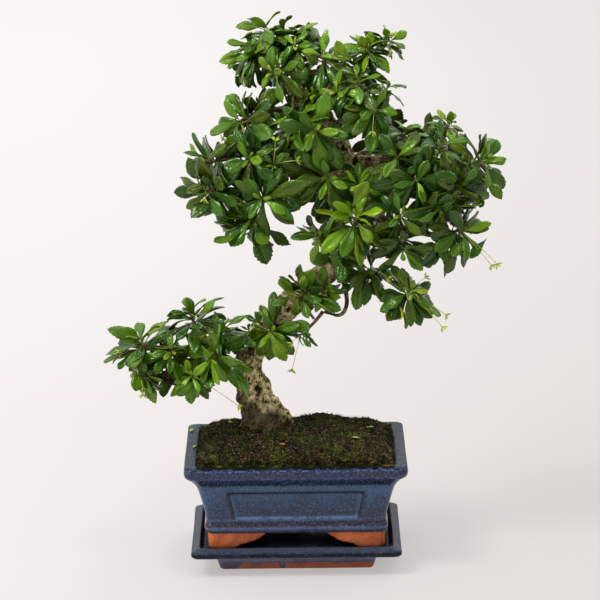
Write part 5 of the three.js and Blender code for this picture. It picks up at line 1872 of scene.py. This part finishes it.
def leaf_paint(name, ages, rib, rough, shine):
    """A leaf finish whose colour follows the leaf's age by the given colours."""
    paint = Paint(name)
    along, across, _ = paint.number("leaf_place")
    age, tint, yellow = paint.number("leaf_look")
    off_rib = paint.size_of(across)
    phase = paint.minus(paint.times(along, VEINS_ALONG), paint.times(off_rib, VEINS_FORWARD))
    veins = paint.between(paint.math("SINE", phase), 0.55, 1.0)
    base = paint.ramp(age, ages)
    base = paint.lay(base, colour(88, 92, 6), paint.between(tint, 0.4, 1.0), 0.5)
    base = paint.lay(base, colour(10, 46, 10), paint.between(tint, 0.35, 0.0), 0.5)
    base = paint.lay(base, colour(18, 42, 2), paint.between(paint.noise(9, 3), 0.35, 0.7), 0.35)
    base = paint.lay(base, colour(*rib), veins, 0.06)
    base = paint.lay(base, colour(*rib), paint.between(off_rib, 0.1, 0.02), 0.22)
    base = paint.lay(base, colour(110, 110, 50), paint.between(along, 0.16, 0.03), 0.5)
    base = paint.lay(base, colour(214, 196, 40), yellow)
    gloss = paint.plus(paint.times(paint.noise(5, 2), 0.18), rough)
    paint.set(Base_Color=base, Roughness=gloss, Specular_IOR_Level=shine, Specular_Tint=LEAF_SHINE)
    uneven = paint.plus(paint.times(paint.noise(4.5, 2), 2), paint.times(paint.noise(1.3, 2), 0.5))
    paint.bump(paint.plus(paint.times(veins, -0.5), uneven), 0.3, 0.7)
    return paint


upper_paint = leaf_paint("leaf_upper", **UPPER)
under_paint = leaf_paint("leaf_under", **UNDER)
twig = Paint("young_shoot")
twig_patches = twig.between(twig.noise(6, 3), 0.35, 0.65)
twig.set(Base_Color=twig.mix(twig_patches, colour(98, 82, 50), colour(142, 122, 84)), Roughness=0.8,
         Specular_IOR_Level=0.25)
twig.bump(twig.noise(1.5, 3), 0.2, 0.6)
print("leaf paints ready")

# %% [markdown]
# ## Flower stalks
# Here and there a thin pale stalk stands out of a rosette and ends in a star of five narrow sepals, which
# is what is left after the small white flower has dropped. Each stalk is a thin tube from the nearest
# shoot, and each sepal a short pointed tube.

# %% flower stalks
FLOWERS = [
    (-136, -34, 161), (-155, -30, 199), (-51, -30, 148), (-2, -40, 208), (-2, -40, 184), (-61, -40, 392),
    (-14, -62, 395), (-76, -60, 344), (4, -64, 378), (83, -50, 269), (116, -52, 269), (134, -50, 235),
    (131, -50, 224), (70, -70, 404), (115, -70, 370), (174, -52, 280), (179, -52, 281),
]
PEDUNCLE_RADIUS = 0.27
STALK_STEPS = 8
SEPALS = 5
SEPAL_LENGTH = 4.8
SEPAL_RADII = (0.5, 0.85, 0.15)


def flower_stalk(place):
    """The clump of the nearest shoot, and points and faces of a stalk from it with its star of sepals."""
    _, pad, tip = min(((shoot["tip"] - place).length, pad, tuple(shoot["tip"]))
                      for pad, made in stems.items() for shoot in made)
    tip = Vector(tip)
    middle = (tip + place) / 2 + Vector((0, -3, 2))
    line = [(1 - t) ** 2 * tip + 2 * t * (1 - t) * middle + t * t * place
            for t in (k / STALK_STEPS for k in range(STALK_STEPS + 1))]
    parts = [tube(line, 5, lambda ring, angle: PEDUNCLE_RADIUS)]
    axis = (line[-1] - line[-2]).normalized()
    for k in range(SEPALS):
        turn = 2 * math.pi * k / SEPALS + look.uniform(-0.3, 0.3)
        out = Quaternion(axis, turn) @ axis.orthogonal().normalized()
        sepal = [place, place + 0.45 * SEPAL_LENGTH * (out + 0.9 * axis),
                 place + SEPAL_LENGTH * (0.9 * out + 0.7 * axis)]
        parts.append(tube(sepal, 5, lambda ring, angle: SEPAL_RADII[ring]))
    return pad, merge_lists(parts)


stalks = [flower_stalk(Vector(place)) for place in FLOWERS]
stalk_paint = Paint("flower_stalk")
ripe = stalk_paint.between(stalk_paint.noise(9, 2), 0.3, 0.7)
stalk_paint.set(Base_Color=stalk_paint.mix(ripe, colour(150, 170, 50), colour(186, 196, 84)), Roughness=0.5,
                Specular_IOR_Level=0.25)
print("flower stalks:", len(stalks))

# %% [markdown]
# ## A piece for each clump
# The blades and shoots of a clump are gathered in one piece, which then stands for the CAD's nodes of
# that clump. Fewer, larger pieces also make the tree quicker to draw and to store.

# %% foliage pieces
STEM_ROOT_RADIUS = 1.8
STEM_TIP_RADIUS = 1.0


def stem_tube(shoot, steps=7, sides=8):
    centres = [stem_point(shoot, step / steps) for step in range(steps + 1)]
    return tube(centres, sides, lambda ring, angle: STEM_ROOT_RADIUS + (
        STEM_TIP_RADIUS - STEM_ROOT_RADIUS) * ring / steps)


for pad, blades in leaves.items():
    points, places, looks = np.zeros((3, 0, 3))
    faces = []
    kinds = []
    for grade, inner in ((FINE, False), (PLAIN, True)):
        some = [blade for blade in blades if blade["inner"] == inner]
        blade_size = 2 * len(grade["along"]) * len(grade["across"])
        for blade in range(len(some)):
            first = len(points) + blade * blade_size
            faces += [tuple(k + first for k in face) for face, _ in grade["faces"]]
            kinds += [kind for _, kind in grade["faces"]]
        made = blade_points(some, grade)
        points, places, looks = (np.vstack(pair) for pair in zip((points, places, looks), made))
    stem_points, stem_faces = merge_lists([stem_tube(shoot) for shoot in stems[pad]])
    faces += [tuple(k + len(points) for k in face) for face in stem_faces]
    kinds += [2] * len(stem_faces)
    flower_points, flower_faces = merge_lists([parts for owner, parts in stalks if owner == pad])
    faces += [tuple(k + len(points) + len(stem_points) for k in face) for face in flower_faces]
    kinds += [3] * len(flower_faces)
    stem_points += flower_points
    blank = np.zeros((len(stem_points), 3))
    foliage = make_piece(
        pad + "_foliage", np.vstack([points, stem_points]), faces,
        [upper_paint.material, under_paint.material, twig.material, stalk_paint.material], kinds,
        {"leaf_place": np.vstack([places, blank]), "leaf_look": np.vstack([looks, blank])},
    )
    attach(foliage, "root")
    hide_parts(*[f"{pad}_shoot_{i + 1}" for i in range(len(SHOOTS[pad]))])
    print(foliage.name, count_triangles(foliage), "triangles")
